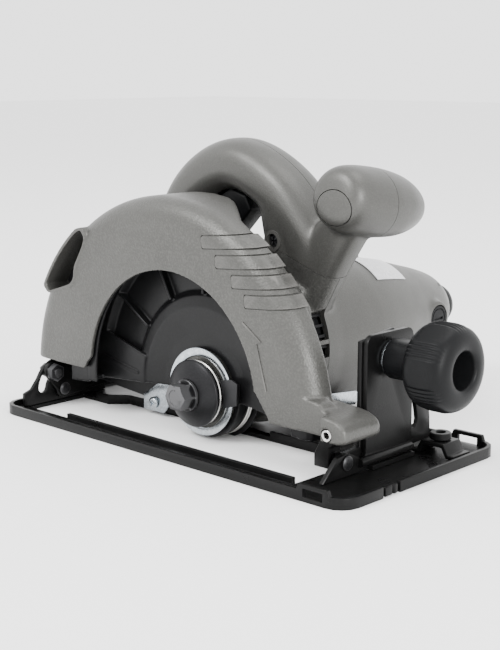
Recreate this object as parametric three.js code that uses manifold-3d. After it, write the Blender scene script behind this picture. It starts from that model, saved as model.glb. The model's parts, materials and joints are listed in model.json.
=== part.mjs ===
// Electric circular saw, right-hand pattern: the blade side faces -Y, the motor lies along +Y
// and the saw cuts towards +X. Millimetres, +Z up. The origin is the middle of the sole's underside.
import * as THREE from 'three';
import { mergeVertices } from 'three/addons/utils/BufferGeometryUtils.js';
import Module from 'manifold-3d';

const wasm = await Module();
wasm.setup();

// ---------------------------------------------------------------- driving dimensions
const GAP = 0.35;                        // left between two pieces that touch

const SOLE_L = 277.4;                    // base plate, along X
const SOLE_W = 137.3;                    // base plate, along Y
const SHEET = 2.5;                       // pressed steel of the base
const FLANGE_H = 6;                      // height of the base's turned-up edge
const WINDOW = { x0: -128.5, x1: 95, y0: -54.5, y1: -10.5 };
const FENCE = { x0: 112, x1: 125 };      // slots that the rip fence slides through

const SPIN = { x: -4.8, z: 28.25 };      // blade spindle, along Y, at full depth of cut
const MOTOR = { x: 5.4, z: 52.7 };       // armature, along Y
const SWING = { x: 107.7, z: 28.3 };     // pivot of the depth setting, along Y
const TILT = { y: -28.5, z: 10.2 };      // pivot of the bevel setting, along X
const BLADE_R = 92;                      // the blade that the guards leave room for

const MODULE = 1;                        // gear pair
const GEAR_TEETH = 43;
const PINION_TEETH = 10;

const GUARD = { x: -25.2, z: 21.5, r: 119.2, wall: 2.4 };   // upper guard's round outline
const FACE_Y = -39.3;                    // outer face of the upper guard
const HOOD_Y = 2;                        // back edge of the guard's rim over the top
const RIM_Y = -24.5;                     // back edge of the guard's rim at the front
const BAND_H = 6.6;                      // raised bands round the guard's front
const BAND_RISE = 4.5;                   // and their rise towards the front, in degrees
const MOUTH = { x: -17.2, z: 30.1, r: 69 };               // round mouth in the guard's face

const SADDLE_TOP = [[10, 110], [22, 106.6], [38, 101.6], [52, 93.3], [56, 93.6]];   // under the handle's foot
const CASE_Y0 = HOOD_Y + GAP;            // gear housing
const CASE_Y1 = 24;
const BODY_Y1 = 186;                     // far end of the motor housing
const BODY_R = 44.6;                     // motor housing over the field coil
const PART_Y = 29.7;                     // parting plane of the two handle halves
const GRIP_W = 38;                       // handle section, across
const GRIP_T = 34;                       // handle section, in the handle's own plane

const ARM = { x0: 105, x1: 107.8 };      // plate of the front bevel bracket
const LOCK_R = 62;                       // bevel bolt's distance from the bevel pivot
const LOCK_DEG = 55;                     // its direction at square cut
const REAR_X = -128.7;                   // front face of the rear bevel plate
const REAR_R = 15;                       // rear bevel bolt's distance from the bevel pivot
const REAR_DEG = 125;                    // its direction at square cut
const BEVEL_MAX = 45;
const GUIDE_R = 160;                     // depth guide's slot about the depth pivot
const GUIDE_DEG = 178;
const SWING_MAX = 35;
const LOWER_R = BLADE_R + 2.3;           // lower guard's outer radius

// ---------------------------------------------------------------- shape helpers
const rad = (deg) => deg * Math.PI / 180;
const at = (c, r, deg) => [c[0] + r * Math.cos(rad(deg)), c[1] + r * Math.sin(rad(deg))];

// A closed three.js geometry as a solid, with its faces turned outwards.
function solid(geometry) {
  let g = geometry.clone();
  for (const name of Object.keys(g.attributes)) {
    if (name !== 'position') g.deleteAttribute(name);
  }
  g = mergeVertices(g, 1e-4);
  const pos = g.getAttribute('position').array;
  const index = g.index.array;
  const faces = [];
  let volume = 0;
  for (let i = 0; i < index.length; i += 3) {
    const [a, b, c] = [index[i], index[i + 1], index[i + 2]];
    if (a === b || b === c || c === a) continue;
    faces.push(a, b, c);
    const [p, q, r] = [a, b, c].map((k) => new THREE.Vector3().fromArray(pos, 3 * k));
    volume += p.dot(q.cross(r));
  }
  if (volume < 0) faces.reverse();
  return new wasm.Manifold(new wasm.Mesh({
    numProp: 3,
    vertProperties: new Float32Array(pos),
    triVerts: new Uint32Array(faces),
  }));
}

const union = (first, ...rest) => rest.reduce((sum, part) => sum.add(part), first);

function box(x0, x1, y0, y1, z0, z1) {
  const g = new THREE.BoxGeometry(x1 - x0, y1 - y0, z1 - z0);
  g.translate((x0 + x1) / 2, (y0 + y1) / 2, (z0 + z1) / 2);
  return solid(g);
}

// A shape is a list of [a, b] points, or a THREE.Shape. It is drawn in the plane across `axis`:
// XZ for Y, YZ for X and XY for Z, and it is extruded from low to high along that axis.
function prism(axis, shape, low, high, curveSegments = 12) {
  const outline = Array.isArray(shape) ? new THREE.Shape(shape.map((p) => new THREE.Vector2(...p))) : shape;
  const g = new THREE.ExtrudeGeometry(outline, { depth: high - low, bevelEnabled: false, curveSegments });
  if (axis === 'y') {
    g.rotateX(Math.PI / 2);
    g.translate(0, high, 0);
  } else if (axis === 'x') {
    g.applyMatrix4(new THREE.Matrix4().makeBasis(
      new THREE.Vector3(0, 1, 0), new THREE.Vector3(0, 0, 1), new THREE.Vector3(1, 0, 0)));
    g.translate(low, 0, 0);
  } else {
    g.translate(0, 0, low);
  }
  return solid(g);
}

// A turned piece. The profile is a list of [radius, place along the axis], and c is the axis'
// place in the plane across it, as in prism.
function turned(axis, c, profile, segments = 32) {
  const g = new THREE.LatheGeometry(profile.map((p) => new THREE.Vector2(...p)), segments);
  if (axis === 'y') {
    g.translate(c[0], 0, c[1]);
  } else if (axis === 'x') {
    g.rotateZ(-Math.PI / 2);
    g.translate(0, c[0], c[1]);
  } else {
    g.rotateX(Math.PI / 2);
    g.translate(c[0], c[1], 0);
  }
  return solid(g);
}

const rod = (axis, c, r, low, high, segments = 24) =>
  turned(axis, c, [[0, low], [r, low], [r, high], [0, high]], segments);

const tube = (axis, c, inner, outer, low, high, segments = 32) =>
  turned(axis, c, [[inner, low], [outer, low], [outer, high], [inner, high], [inner, low]], segments);

// A hexagonal prism, `flats` across its flats.
const hex = (axis, c, flats, low, high) => rod(axis, c, flats / Math.sqrt(3), low, high, 6);

// Points on an arc, both ends included.
function arc(c, r, from, to, steps) {
  return Array.from({ length: steps + 1 }, (_, i) => at(c, r, from + (to - from) * i / steps));
}

// A band round c from one angle to another, with round ends: an arc slot, or the band round it.
function arcBand(c, r, half, from, to, steps = 14) {
  return [
    ...arc(c, r + half, from, to, steps),
    ...arc(at(c, r, to), half, to, to + 180, 5).slice(1, -1),
    ...arc(c, r - half, to, from, steps),
    ...arc(at(c, r, from), half, from + 180, from + 360, 5).slice(1, -1),
  ];
}

// A sector of a ring, with straight ends.
const sector = (c, r0, r1, from, to, steps = 24) =>
  [...arc(c, r1, from, to, steps), ...arc(c, r0, to, from, steps)];

function roundedRect(x0, x1, y0, y1, r, steps = 4) {
  return [
    ...arc([x1 - r, y1 - r], r, 0, 90, steps), ...arc([x0 + r, y1 - r], r, 90, 180, steps),
    ...arc([x0 + r, y0 + r], r, 180, 270, steps), ...arc([x1 - r, y0 + r], r, 270, 360, steps),
  ];
}

// A smooth bar of oval section along a curve in a plane of constant Y.
function ovalBar(points, y, width, thick, steps = 16, sides = 12) {
  const path = new THREE.CatmullRomCurve3(points.map((p) => new THREE.Vector3(p[0], y, p[1])));
  const oval = new THREE.Shape(Array.from({ length: sides }, (_, i) => {
    const a = 2 * Math.PI * (i + 0.5) / sides;
    const round = (v) => Math.sign(v) * Math.abs(v) ** 0.8;
    return new THREE.Vector2(round(Math.cos(a)) * thick / 2, round(Math.sin(a)) * width / 2);
  }));
  return solid(new THREE.ExtrudeGeometry(oval, { extrudePath: path, steps, bevelEnabled: false }));
}

const root = new THREE.Group();
root.name = 'circular_saw';

const PAINT = { color: 0x8b8a84, roughness: 0.5, metalness: 0.35 };
const BLACK_STEEL = { color: 0x18181a, roughness: 0.45, metalness: 0.6 };
const BLACK_PLASTIC = { color: 0x1c1d20, roughness: 0.5, metalness: 0 };
const WHITE_PLASTIC = { color: 0xe8e8e6, roughness: 0.5, metalness: 0 };
const STEEL = { color: 0x9a9a98, roughness: 0.35, metalness: 0.9 };
const ZINC = { color: 0xb4bcc0, roughness: 0.3, metalness: 0.9 };
const COPPER = { color: 0xa5602c, roughness: 0.35, metalness: 0.9 };

// Adds a finished piece to the saw as a mesh with a material of its own.
function add(name, part, finish) {
  const mesh = part.getMesh();
  const g = new THREE.BufferGeometry();
  g.setAttribute('position', new THREE.BufferAttribute(new Float32Array(mesh.vertProperties), 3));
  g.setIndex(new THREE.BufferAttribute(new Uint32Array(mesh.triVerts), 1));
  g.computeVertexNormals();
  const node = new THREE.Mesh(g, new THREE.MeshStandardMaterial(finish));
  node.name = name;
  root.add(node);
}

// ---------------------------------------------------------------- base
function basePlate() {
  const [hx, hy] = [SOLE_L / 2, SOLE_W / 2];
  const w = WINDOW;
  let plate = prism('z', roundedRect(-hx, hx, -hy, hy, 12), 0, FLANGE_H);
  plate = plate.subtract(prism('z', roundedRect(-hx + SHEET, hx - SHEET, -hy + SHEET, hy - SHEET, 9.5),
    SHEET, FLANGE_H + 1));
  const bulge = 9.4;                       // the window is wider beside the gear housing
  const opening = [
    [w.x0, w.y0], [w.x1, w.y0], [w.x1, w.y1 + bulge], [-94, w.y1 + bulge], [-104, w.y1], [w.x0, w.y1],
  ];
  const lipGap = box(-37, 28, w.y1 + 1, w.y1 + bulge + SHEET + 1, SHEET + 0.3, FLANGE_H + 1);
  // Turned-up lips stiffen both long edges of the window.
  plate = union(plate,
    box(-88, w.x1, w.y0 - SHEET, w.y0 + 0.01, 0.5, FLANGE_H),
    prism('z', [
      [-116, w.y1], [-104, w.y1], [-94, w.y1 + bulge], [w.x1, w.y1 + bulge], [w.x1, w.y1 + bulge + SHEET],
      [-95, w.y1 + bulge + SHEET], [-105, w.y1 + SHEET], [-116, w.y1 + SHEET],
    ], 0.5, FLANGE_H));
  plate = plate.subtract(prism('z', opening, -1, FLANGE_H + 1)).subtract(lipGap);
  // Each side flange rises over the fence slot.
  for (const [y0, y1] of [[-hy, -hy + SHEET], [hy - SHEET, hy]]) {
    plate = plate.add(prism('y',
      [[FENCE.x0 - 5, 4], [FENCE.x1 + 5, 4], [FENCE.x1 + 3, 9.2], [FENCE.x0 - 3, 9.2]], y0, y1));
    plate = plate.subtract(box(FENCE.x0, FENCE.x1, y0 - 1, y1 + 1, SHEET, 7));
  }
  // The sighting gap in the front flange lies across the blade's line.
  plate = plate.subtract(box(hx - 4, hx + 1, -37, -23, -1, FLANGE_H + 1));
  return plate;
}

function frontBracket() {
  const p = [TILT.y, TILT.z];
  const foot = SHEET + GAP;
  const outline = [
    [-47.5, foot], [-35.8, 14.2], ...arc(p, 5.1, 115, 60, 3), [-14.5, 9], [-12.7, 12],
    ...arc([-7.7, 70], 5, 180, 90, 3), ...arc([22.4, 70], 5, 90, 0, 3), [27.4, foot],
  ];
  let plate = prism('x', outline, ARM.x0, ARM.x1);
  plate = union(plate,
    box(ARM.x1 - 0.5, FENCE.x0 - 0.7, -11, 26, foot, foot + SHEET),
    rod('y', [ARM.x1 + 0.8, 8.2], 2.6, -19, 25.5, 12));
  plate = plate.subtract(rod('x', p, 3.3, ARM.x0 - 1, ARM.x1 + 1));
  return plate.subtract(rod('x', at(p, LOCK_R, LOCK_DEG), 4.3, ARM.x0 - 1, ARM.x1 + 1));
}

function rearBevelPlate() {
  const p = [TILT.y, TILT.z];
  const outline = [
    [-57.6, SHEET + GAP], [8, SHEET + GAP], [8, 14], [-6, 24], ...arc(p, 20.5, 55, 155, 8),
    [-52, 13], [-57.6, 11],
  ];
  const slot = arcBand(p, REAR_R, 3.3, REAR_DEG - 1, REAR_DEG + BEVEL_MAX + 1);
  return prism('x', outline, REAR_X - 2.6, REAR_X)
    .subtract(prism('x', slot, REAR_X - 4, REAR_X + 1))
    .subtract(rod('x', p, 3.3, REAR_X - 4, REAR_X + 1));
}

function fenceBridge() {
  const profile = [[104, 2.85], [109.5, 2.85], [112.5, 8.4], [124.5, 8.4], [127.5, 2.85], [133, 2.85],
    [133, 5.2], [129, 5.2], [126, 10.8], [111, 10.8], [108, 5.2], [104, 5.2]];
  return prism('y', profile, 32, 48).subtract(rod('z', [118.5, 40], 3.3, 5, 12));
}

function fenceCollar() {
  return union(tube('z', [118.5, 40], 2.6, 6, 11.15, 15, 20), tube('z', [118.5, 40], 2.6, 3, 9.2, 11.5, 20));
}

function sightPointer() {
  const body = box(SOLE_L / 2 - 3.6, SOLE_L / 2 - 0.2, -35, -25, 0.4, 5.2);
  const notch = [[SOLE_L / 2 + 1, -30.5], [SOLE_L / 2 - 2, -28.5], [SOLE_L / 2 + 1, -26.5]];
  return body.subtract(prism('z', notch, 0, 6));
}

function pivotRivet(x0, x1) {
  const p = [TILT.y, TILT.z];
  return turned('x', p, [
    [0, x0 - 1.7], [2.4, x0 - 1.7], [4, x0 - 0.6], [4, x0], [2.9, x0],
    [2.9, x1], [4, x1], [4, x1 + 0.6], [2.4, x1 + 1.7], [0, x1 + 1.7],
  ], 16);
}

function bevelBolt() {
  const c = at([TILT.y, TILT.z], LOCK_R, LOCK_DEG);
  const head = turned('x', c, [[0, 94.6], [5, 94.6], [7.5, 97], [7.5, 98.9], [0, 98.9]], 20);
  return union(rod('x', c, 3.9, 98, 138, 16), head);
}

add('base_plate', basePlate(), BLACK_STEEL);
add('front_bracket', frontBracket(), BLACK_STEEL);
add('rear_bevel_plate', rearBevelPlate(), BLACK_STEEL);
add('fence_bridge', fenceBridge(), BLACK_STEEL);
add('fence_collar', fenceCollar(), BLACK_STEEL);
add('sight_pointer', sightPointer(), BLACK_STEEL);
add('front_pivot_rivet', pivotRivet(101.2, ARM.x1 + 0.3), BLACK_STEEL);
add('rear_pivot_rivet', pivotRivet(REAR_X - 2.95, REAR_X + 3.35), BLACK_STEEL);
add('bevel_bolt', bevelBolt(), STEEL);
add('bevel_washer', tube('x', at([TILT.y, TILT.z], LOCK_R, LOCK_DEG), 4.3, 9.5, 108.15, 109.75, 20), STEEL);

// ---------------------------------------------------------------- bevel knob
function bevelKnob() {
  const c = at([TILT.y, TILT.z], LOCK_R, LOCK_DEG);
  const profile = [
    [4.3, 110.1], [10.5, 110.1], [11, 111], [11, 129], [19, 129.6], [21.5, 131], [23.6, 136],
    [23.6, 146], [22, 151.5], [18.5, 154.8], [14, 155.7], [10.6, 155], [10, 153.5],
    [10, 141], [4.3, 141], [4.3, 110.1],
  ];
  let knob = turned('x', c, profile, 36);
  // Six shallow flats round the rim give the fingers a hold.
  for (let i = 0; i < 6; i++) {
    const a = 30 + 60 * i;
    const flat = box(128, 148, -9, 9, 22.4, 26).rotate([a, 0, 0]).translate([0, c[0], c[1]]);
    knob = knob.subtract(flat);
  }
  return knob;
}

add('bevel_knob', bevelKnob(), BLACK_PLASTIC);

// ---------------------------------------------------------------- bevel frame
function bevelQuadrant() {
  const p = [TILT.y, TILT.z];
  const [x0, x1] = [ARM.x0 - GAP - 2.7, ARM.x0 - GAP];
  const plate = prism('x', [
    ...arc(p, 78, -2, 57, 14), [-14, 72], [-14, 15.2], ...arc(p, 5, 60, 180, 6), [-33.5, 6.5], [20, 6],
  ], x0, x1);
  const slot = arcBand(p, LOCK_R, 4.5, LOCK_DEG - BEVEL_MAX - 1, LOCK_DEG + 1);
  return plate.subtract(prism('x', slot, x0 - 1, x1 + 1)).subtract(rod('x', p, 3.3, x0 - 1, x1 + 1));
}

const TONGUE = { y0: -36, y1: -26 };

function pivotTongue() {
  const c = [SWING.x, SWING.z];
  const x1 = ARM.x0 - 2 * GAP - 2.7;
  const outline = [
    [91.5, 7], [x1, 7], [x1, 18.5], ...arc(c, 7.5, -105, 150, 10), [98, 26], [91.5, 14],
  ];
  const clearRivet = box(98.8, x1 + 1, -33.5, -23.5, 4, 15);
  return prism('y', outline, TONGUE.y0, TONGUE.y1)
    .subtract(rod('y', c, 3.5, TONGUE.y0 - 1, TONGUE.y1 + 1))
    .subtract(clearRivet);
}

function rearAnglePlate() {
  const p = [TILT.y, TILT.z];
  const x0 = REAR_X + GAP;
  const bolt = at(p, REAR_R, REAR_DEG);
  const face = prism('x', [...arc(p, 6, 180, 300, 5), [9, 8], [9, 22], [-20, 22],
    ...arc(bolt, 6, 60, 190, 5)], x0, x0 + 2.6);
  return face.subtract(rod('x', p, 3.3, x0 - 1, x0 + 3)).subtract(rod('x', bolt, 3.3, x0 - 1, x0 + 3));
}

const GUIDE = { y0: 5.4, y1: 8 };

function depthGuide() {
  const c = [SWING.x, SWING.z];
  const [from, to] = [GUIDE_DEG - SWING_MAX, GUIDE_DEG];
  const band = prism('y', arcBand(c, GUIDE_R, 8, from - 1, to + 1, 12), GUIDE.y0, GUIDE.y1);
  const link = prism('y', [
    [REAR_X + 6, 9], [-58, 16], [-46, 27], [-58, 38], [-74, 26], [REAR_X + 6, 22],
  ], GUIDE.y0, GUIDE.y1);
  const tab = box(REAR_X + 3.3, REAR_X + 6.5, -8, GUIDE.y1, 9, 22);
  const slot = prism('y', arcBand(c, GUIDE_R, 3.4, from - 0.5, to + 0.5, 12), 0, 12);
  return union(band, link, tab).subtract(slot);
}

function rearBolt() {
  const c = at([TILT.y, TILT.z], REAR_R, REAR_DEG);
  const x0 = REAR_X - 2.6;
  return union(
    rod('x', c, 2.9, x0 - 1, REAR_X + 8.5, 12),
    hex('x', c, 8, x0 - 3.2, x0 - GAP),
    hex('x', c, 10, REAR_X + 3.3, REAR_X + 7.5));
}

add('bevel_quadrant', bevelQuadrant(), BLACK_STEEL);
add('pivot_tongue', pivotTongue(), BLACK_STEEL);
add('depth_pivot_pin', tube('y', [SWING.x, SWING.z], 1.8, 3.2, -45.6, -16.5, 20), STEEL);
add('rear_angle_plate', rearAnglePlate(), BLACK_STEEL);
add('depth_guide', depthGuide(), BLACK_STEEL);
add('rear_bevel_bolt', rearBolt(), STEEL);

// ---------------------------------------------------------------- upper guard
const guardC = [GUARD.x, GUARD.z];
const spinC = [SPIN.x, SPIN.z];
const motorC = [MOTOR.x, MOTOR.z];
const swingC = [SWING.x, SWING.z];

// The round shell of the guard, `inset` inside its outer skin. The rim rolls over into the face.
function guardShell(inset, back) {
  const r = GUARD.r - inset;
  const face = FACE_Y + inset;
  return turned('y', guardC, [
    [0, face], [r - 12.7, face], [r - 8, face + 0.8], [r - 4.2, face + 3], [r - 1.3, face + 6.6],
    [r, face + 11.8], [r, back], [0, back],
  ], 48);
}

// The guard's outline below: higher at the rear, with the rear and front feet level.
const guardBelow = [[-160, -160], [200, -160], [200, 24.9], [60, 24.9], [-60, 30.5], [-160, 31]];

// In plan the rim's back edge runs from the hood over the top to the narrower front.
const rimPlan = [[-160, -60], [160, -60], [160, RIM_Y], [50, RIM_Y], [8, HOOD_Y], [-160, HOOD_Y]];

// The room inside the guard. Its corner is sharper than the skin's, to clear the lower guard.
function guardRoom(back) {
  const r = GUARD.r - GUARD.wall;
  const face = FACE_Y + GUARD.wall;
  return turned('y', guardC, [
    [0, face], [r - 10, face], [r - 5, face + 1.3], [r - 2, face + 4], [r - 0.4, face + 7.4], [r, face + 11],
    [r, back], [0, back],
  ], 48);
}

function louvreBands() {
  const skin = guardShell(-1, HOOD_Y).subtract(guardShell(0.6, HOOD_Y + 1));
  const plan = prism('z', rimPlan, 60, 140);
  const ends = [[12.3, 115.1], [23, 105.2], [35.2, 95.6], [44.8, 85.9]];
  const bands = ends.map(([x, z]) =>
    box(0, 70, -60, 10, 0, BAND_H).rotate([0, -BAND_RISE, 0]).translate([x, 0, z]));
  return skin.intersect(union(...bands)).intersect(plan);
}

function chute() {
  const mouth = [
    [-96.5, 117], [-89.5, 111], [-97, 97], [-100.7, 83.3], [-127.6, 76.5], [-140, 96], [-118, 124],
  ];
  const rim = [
    [-98, 121], [-86.5, 112.5], [-93.5, 96], [-98.2, 80.6], [-129.5, 72.6], [-134, 78], [-118, 103],
  ];
  return { mouth: prism('y', mouth, FACE_Y - 4, -22), rim: prism('y', rim, FACE_Y - 1.3, -20) };
}

function upperGuard() {
  const below = prism('y', guardBelow, -80, 40);
  const plan = prism('z', rimPlan, -10, 160);
  let shell = guardShell(0, HOOD_Y).intersect(plan);
  const { mouth, rim } = chute();
  const chuteLip = rim.intersect(guardShell(-1.3, 0).subtract(guardShell(GUARD.wall - 0.5, 40)));
  shell = union(shell, louvreBands(), chuteLip);
  shell = shell.subtract(guardRoom(40));
  // The chute is a pocket with a floor of its own, so chips leave clear of the blade.
  const inside = guardShell(1, 0).intersect(rim).intersect(box(-160, 0, -60, -24, 0, 160));
  shell = union(shell, inside).subtract(mouth);
  // Web behind the blade, with the bearing boss that the lower guard turns on.
  const web = prism('y', [
    ...arc(guardC, GUARD.r - 1, 66, 172, 18), [-142, 33], [-48, 29], ...arc(spinC, 30, 180, 352, 10),
    ...arc(spinC, 74, -4, 30, 4), [58, 80],
  ], -6, HOOD_Y);
  shell = union(shell, web);
  // Round mouth in the face, open below, with rounded feet.
  const mouthCut = union(
    rod('y', [MOUTH.x, MOUTH.z], MOUTH.r, -60, -30, 48),
    prism('y', [[-92, 10], [68, 10], [61, 28], [52, 40], [-84, 40], [-87.5, 32.5]], -60, -30));
  shell = shell.subtract(mouthCut).subtract(below);
  // The web reaches down round the spindle to close the gear housing.
  shell = shell.add(rod('y', spinC, 25, -6, HOOD_Y, 32));
  // Front foot and the lug of the depth pivot.
  const foot = prism('y', [
    [61, 26], [86, 21.5], [100, 21.5], [104, 30], [95, 50], [88, 58], [80, 40], [66, 44],
  ], FACE_Y + 0.4, -27);
  const lugEnd = [[103.6, 19.2], [120.6, 25.9], [120.2, 32], [117.5, 37.5], [112, 41.3], [102.5, 43]];
  const lug = union(
    prism('y', lugEnd, -46, -15.5),
    prism('y', [[84, 24], ...lugEnd, [97, 46], [86, 44]], FACE_Y + 0.4, -15.5));
  const footRoom = rod('y', spinC, LOWER_R + 0.9, FACE_Y + 1, 10, 48);
  shell = union(shell, foot.add(lug).subtract(footRoom));
  const [slotY0, slotY1] = [TONGUE.y0 - 0.5, TONGUE.y1 + 0.5];
  const lugSlot = union(
    rod('y', swingC, 8.1, slotY0, slotY1, 24),
    prism('y', [[80, 0], [125, 0], [125, 21], [115, 26], [100, 34], [92, 36], [80, 36]], slotY0, slotY1));
  shell = shell.subtract(lugSlot).subtract(rod('y', swingC, 3.6, -50, -10, 20));
  // Bearing boss and the clear bore for the spindle.
  const boss = tube('y', spinC, 16.2, 24, -23.4, -4, 32);
  shell = shell.subtract(rod('y', spinC, 16.2, -60, 10, 32)).add(boss);
  return shell.add(rotationArrow());
}

// Raised outline arrow beside the mouth that shows which way the blade turns.
function rotationArrow() {
  const line = (a, b) => {
    const [dx, dz] = [b[0] - a[0], b[1] - a[1]];
    const n = Math.hypot(dx, dz);
    const [ux, uz] = [0.35 * dx / n, 0.35 * dz / n];
    return prism('y', [[a[0] - ux + uz, a[1] - uz - ux], [b[0] + ux + uz, b[1] + uz - ux],
      [b[0] + ux - uz, b[1] + uz + ux], [a[0] - ux - uz, a[1] - uz + ux]], FACE_Y - 0.4, FACE_Y + 1);
  };
  const [tip, barb, neck, tail] = [[43.3, 77.4], [55.9, 68.8], [52.9, 67.8], [60.3, 42.6]];
  return union(line(tip, barb), line(barb, neck), line(neck, tail));
}

add('upper_guard', upperGuard(), PAINT);

// ---------------------------------------------------------------- lower guard
function lowerGuard() {
  const r = LOWER_R;
  const skin = 1.5;
  const [near, far, deep] = [-36, -22, -17];
  // Section of the channel: near wall, rim, far wall with a deep pocket, then the stepped hub.
  const channel = turned('y', spinC, [
    [80, near], [r - 7.2, near], [r - 4.2, near + 1.2], [r - 1.7, near + 3.7], [r - 0.5, near + 7],
    [r, near + 11], [r, far], [89, far], [86, deep], [58, deep], [54, -19.2], [50, -19.2],
    [36, -17.5], [27.6, -17], [27.6, -13.5], [24.4, -13.5], [24.4, -21], [34, -21], [49, -22.2],
    [55.5, -21], [59, deep - skin], [85, deep - skin], [87.6, far - skin], [r - skin, far - skin],
    [r - skin, near + 7], [r - 3.6, near + 4.6], [r - 8, near + skin], [80, near + skin], [80, near],
  ], 48);
  const from = -6;
  const to = 184;
  const keep = union(
    prism('y', [[SPIN.x, SPIN.z], ...arc(spinC, 150, from, to, 16)], -50, 0),
    rod('y', spinC, 27.65, -50, 0, 32));
  const ribs = [118, 146, 62, 90, 34].map((a) =>
    box(57, 88, -23, deep - 0.4, -0.9, 0.9).rotate([0, -a, 0]).translate([SPIN.x, 0, SPIN.z]));
  const floor = prism('y', sector(spinC, 50, 92, 164, to, 4), far - skin, far + 0.6);
  const nose = prism('y', sector(spinC, 88, 104, 176, 184.5, 3), near, far);
  const noseHollow = prism('y', sector(spinC, 80, 101.5, 170, 182.8, 3), near + skin, far - skin);
  const strip = [[-96, 36], [-92, 37.5], [-60, 31.5], [-59, 29.5], [-62, 29]];
  const groove = prism('y', strip, far - 5, far - 0.9);
  return union(channel.intersect(keep), ...ribs, floor, nose).subtract(noseHollow).subtract(groove);
}

add('lower_guard', lowerGuard(), BLACK_PLASTIC);
add('retaining_ring', tube('y', spinC, 21.2, 26.6, -24.9, -23.75, 32), ZINC);
// Coil of the return spring, with the gap between its two ends.
const springGap = prism('y', [[SPIN.x, SPIN.z], ...arc(spinC, 40, 200, 212, 1)], -20, 0);
add('guard_spring', tube('y', spinC, 25, 27.8, -12.9, -7, 24).subtract(springGap), STEEL);

function stopTab() {
  const outline = [[15, 22], [26, 25.5], [26.5, 38], [22, 40], [13, 38.2], [15.4, 28.2]];
  const plate = prism('y', outline, -26.8, -25.3);
  const leg = prism('y', [[22.6, 30], [25.8, 26], [26, 38], [22.6, 35]], -25.5, -23.8);
  return union(plate, leg);
}
add('guard_stop_tab', stopTab(), BLACK_STEEL);

// ---------------------------------------------------------------- gear housing and motor housing
const BRUSH_Y = 149;                     // the brushes' place along the motor

// Half-width of the motor housing along its length, `inset` inside its outer skin.
function bodyProfile(inset) {
  const narrower = [
    [0, 78], [1.5, 95], [5.5, 118], [11, 140], [15.5, 158], [20, 172], [25, 181], [29, BODY_Y1],
  ];
  return narrower.map(([less, y]) => [BODY_R - less - inset, y]);
}

function gearHousing() {
  const outline = [...arc(spinC, 25, 168, 372, 12), ...arc(motorC, 46, -26, 206, 20)];
  let part = prism('y', outline, CASE_Y0, CASE_Y1);
  // Arm that carries the bolt of the depth lock, behind the guide.
  const bolt = at(swingC, GUIDE_R, GUIDE_DEG);
  const arm = [[-25, 24], ...arc(bolt, 9, 270, 90, 6), [-25, 56]];
  part = part.add(prism('y', arm, GUIDE.y1 + GAP, 16));
  // Front of the saddle under the handle's foot.
  part = part.add(prism('y', [[6, 90], [9, 98.5], ...SADDLE_TOP, [52, 84], [40, 76]], PART_Y - 16, CASE_Y1));
  // Nose that carries the shaft lock.
  const lockNose = [[20, 22], [33, 22], [40, 27], [40, 37], [30, 44], [20, 44]];
  part = part.add(prism('y', lockNose, CASE_Y0, 11));
  part = part.subtract(rod('y', bolt, 3.4, 0, 30, 16));
  // The fan's air leaves through two windows beside the guard.
  for (const [from, to] of [[9, 30], [-4, 6]]) {
    part = part.subtract(prism('y', sector(motorC, 41.5, 60, from, to, 4), 9, CASE_Y1 + 1));
  }
  // Gear pocket, open to the guard's web; pinion pocket; seats for the three front bearings.
  const gearR = MODULE * (GEAR_TEETH / 2 + 1) + 0.7;
  part = part.subtract(union(
    rod('y', spinC, gearR, 0, 15, 32), rod('y', motorC, 8, 0, 17, 20)));
  part = part.subtract(rod('y', spinC, 11.3, 0, 22.4, 24)).subtract(rod('y', motorC, 13.3, 15.6, 40, 24));
  part = part.subtract(tube('y', motorC, 17, 42, 19, 40, 36));
  return part.subtract(box(18, 50, 4.2, 7.4, 28.2, 34.2));
}

function motorHousing() {
  const y0 = CASE_Y1 + GAP;
  const profile = [[0, y0], [45.6, y0], [BODY_R, y0 + 14], ...bodyProfile(0), [0, BODY_Y1]];
  const outer = turned('y', motorC, profile, 32);
  const inner = turned('y', motorC, [[0, y0 - 1], [42.3, y0 - 1], [41.4, y0 + 14],
    ...bodyProfile(3.2).slice(0, 6), [12, 182], [12, BODY_Y1 + 1], [0, BODY_Y1 + 1]], 32);
  // Saddle under the foot of the handle.
  const saddle = prism('y', [
    [-30, 80], [-24, 93.5], [9, 98.5], ...SADDLE_TOP, [55, 82], [50, 66], [30, 60],
  ], y0, 50);
  let part = outer.add(saddle).subtract(inner);
  // Ring wall that seats the commutator-end bearing, on four webs.
  const seat = tube('y', motorC, 11.3, 14, 160, 173, 20);
  const webs = [45, 135, 225, 315].map((a) =>
    box(13, 28, 162, 170, -1.2, 1.2).rotate([0, a, 0]).translate([MOTOR.x, 0, MOTOR.z]));
  part = union(part, seat, ...webs);
  part = part.subtract(rod('x', [BRUSH_Y, MOTOR.z], 9, MOTOR.x - 60, MOTOR.x + 60, 20));
  // Air inlets under the commutator end.
  for (const a of [220, 240, 260, 280, 300]) {
    const inlet = box(20, 50, 134, 164, -1.6, 1.6).rotate([0, -a, 0]);
    part = part.subtract(inlet.translate([MOTOR.x, 0, MOTOR.z]));
  }
  return part;
}

function ventCap() {
  const y0 = BODY_Y1 + GAP;
  let cap = turned('y', motorC, [
    [0, y0], [15, y0], [14, y0 + 6], [10, y0 + 10.5], [5, y0 + 12.5], [0, y0 + 13],
  ], 20);
  cap = cap.add(rod('y', motorC, 11.5, y0 - 4, y0 + 1, 20));
  cap = cap.subtract(rod('y', motorC, 9.5, y0 - 5, y0 + 4, 16));
  for (const dz of [-5, 0, 5]) {
    const z = MOTOR.z + dz;
    cap = cap.subtract(box(MOTOR.x - 8, MOTOR.x + 8, y0 - 1, y0 + 20, z - 1.1, z + 1.1));
  }
  return cap;
}

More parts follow.
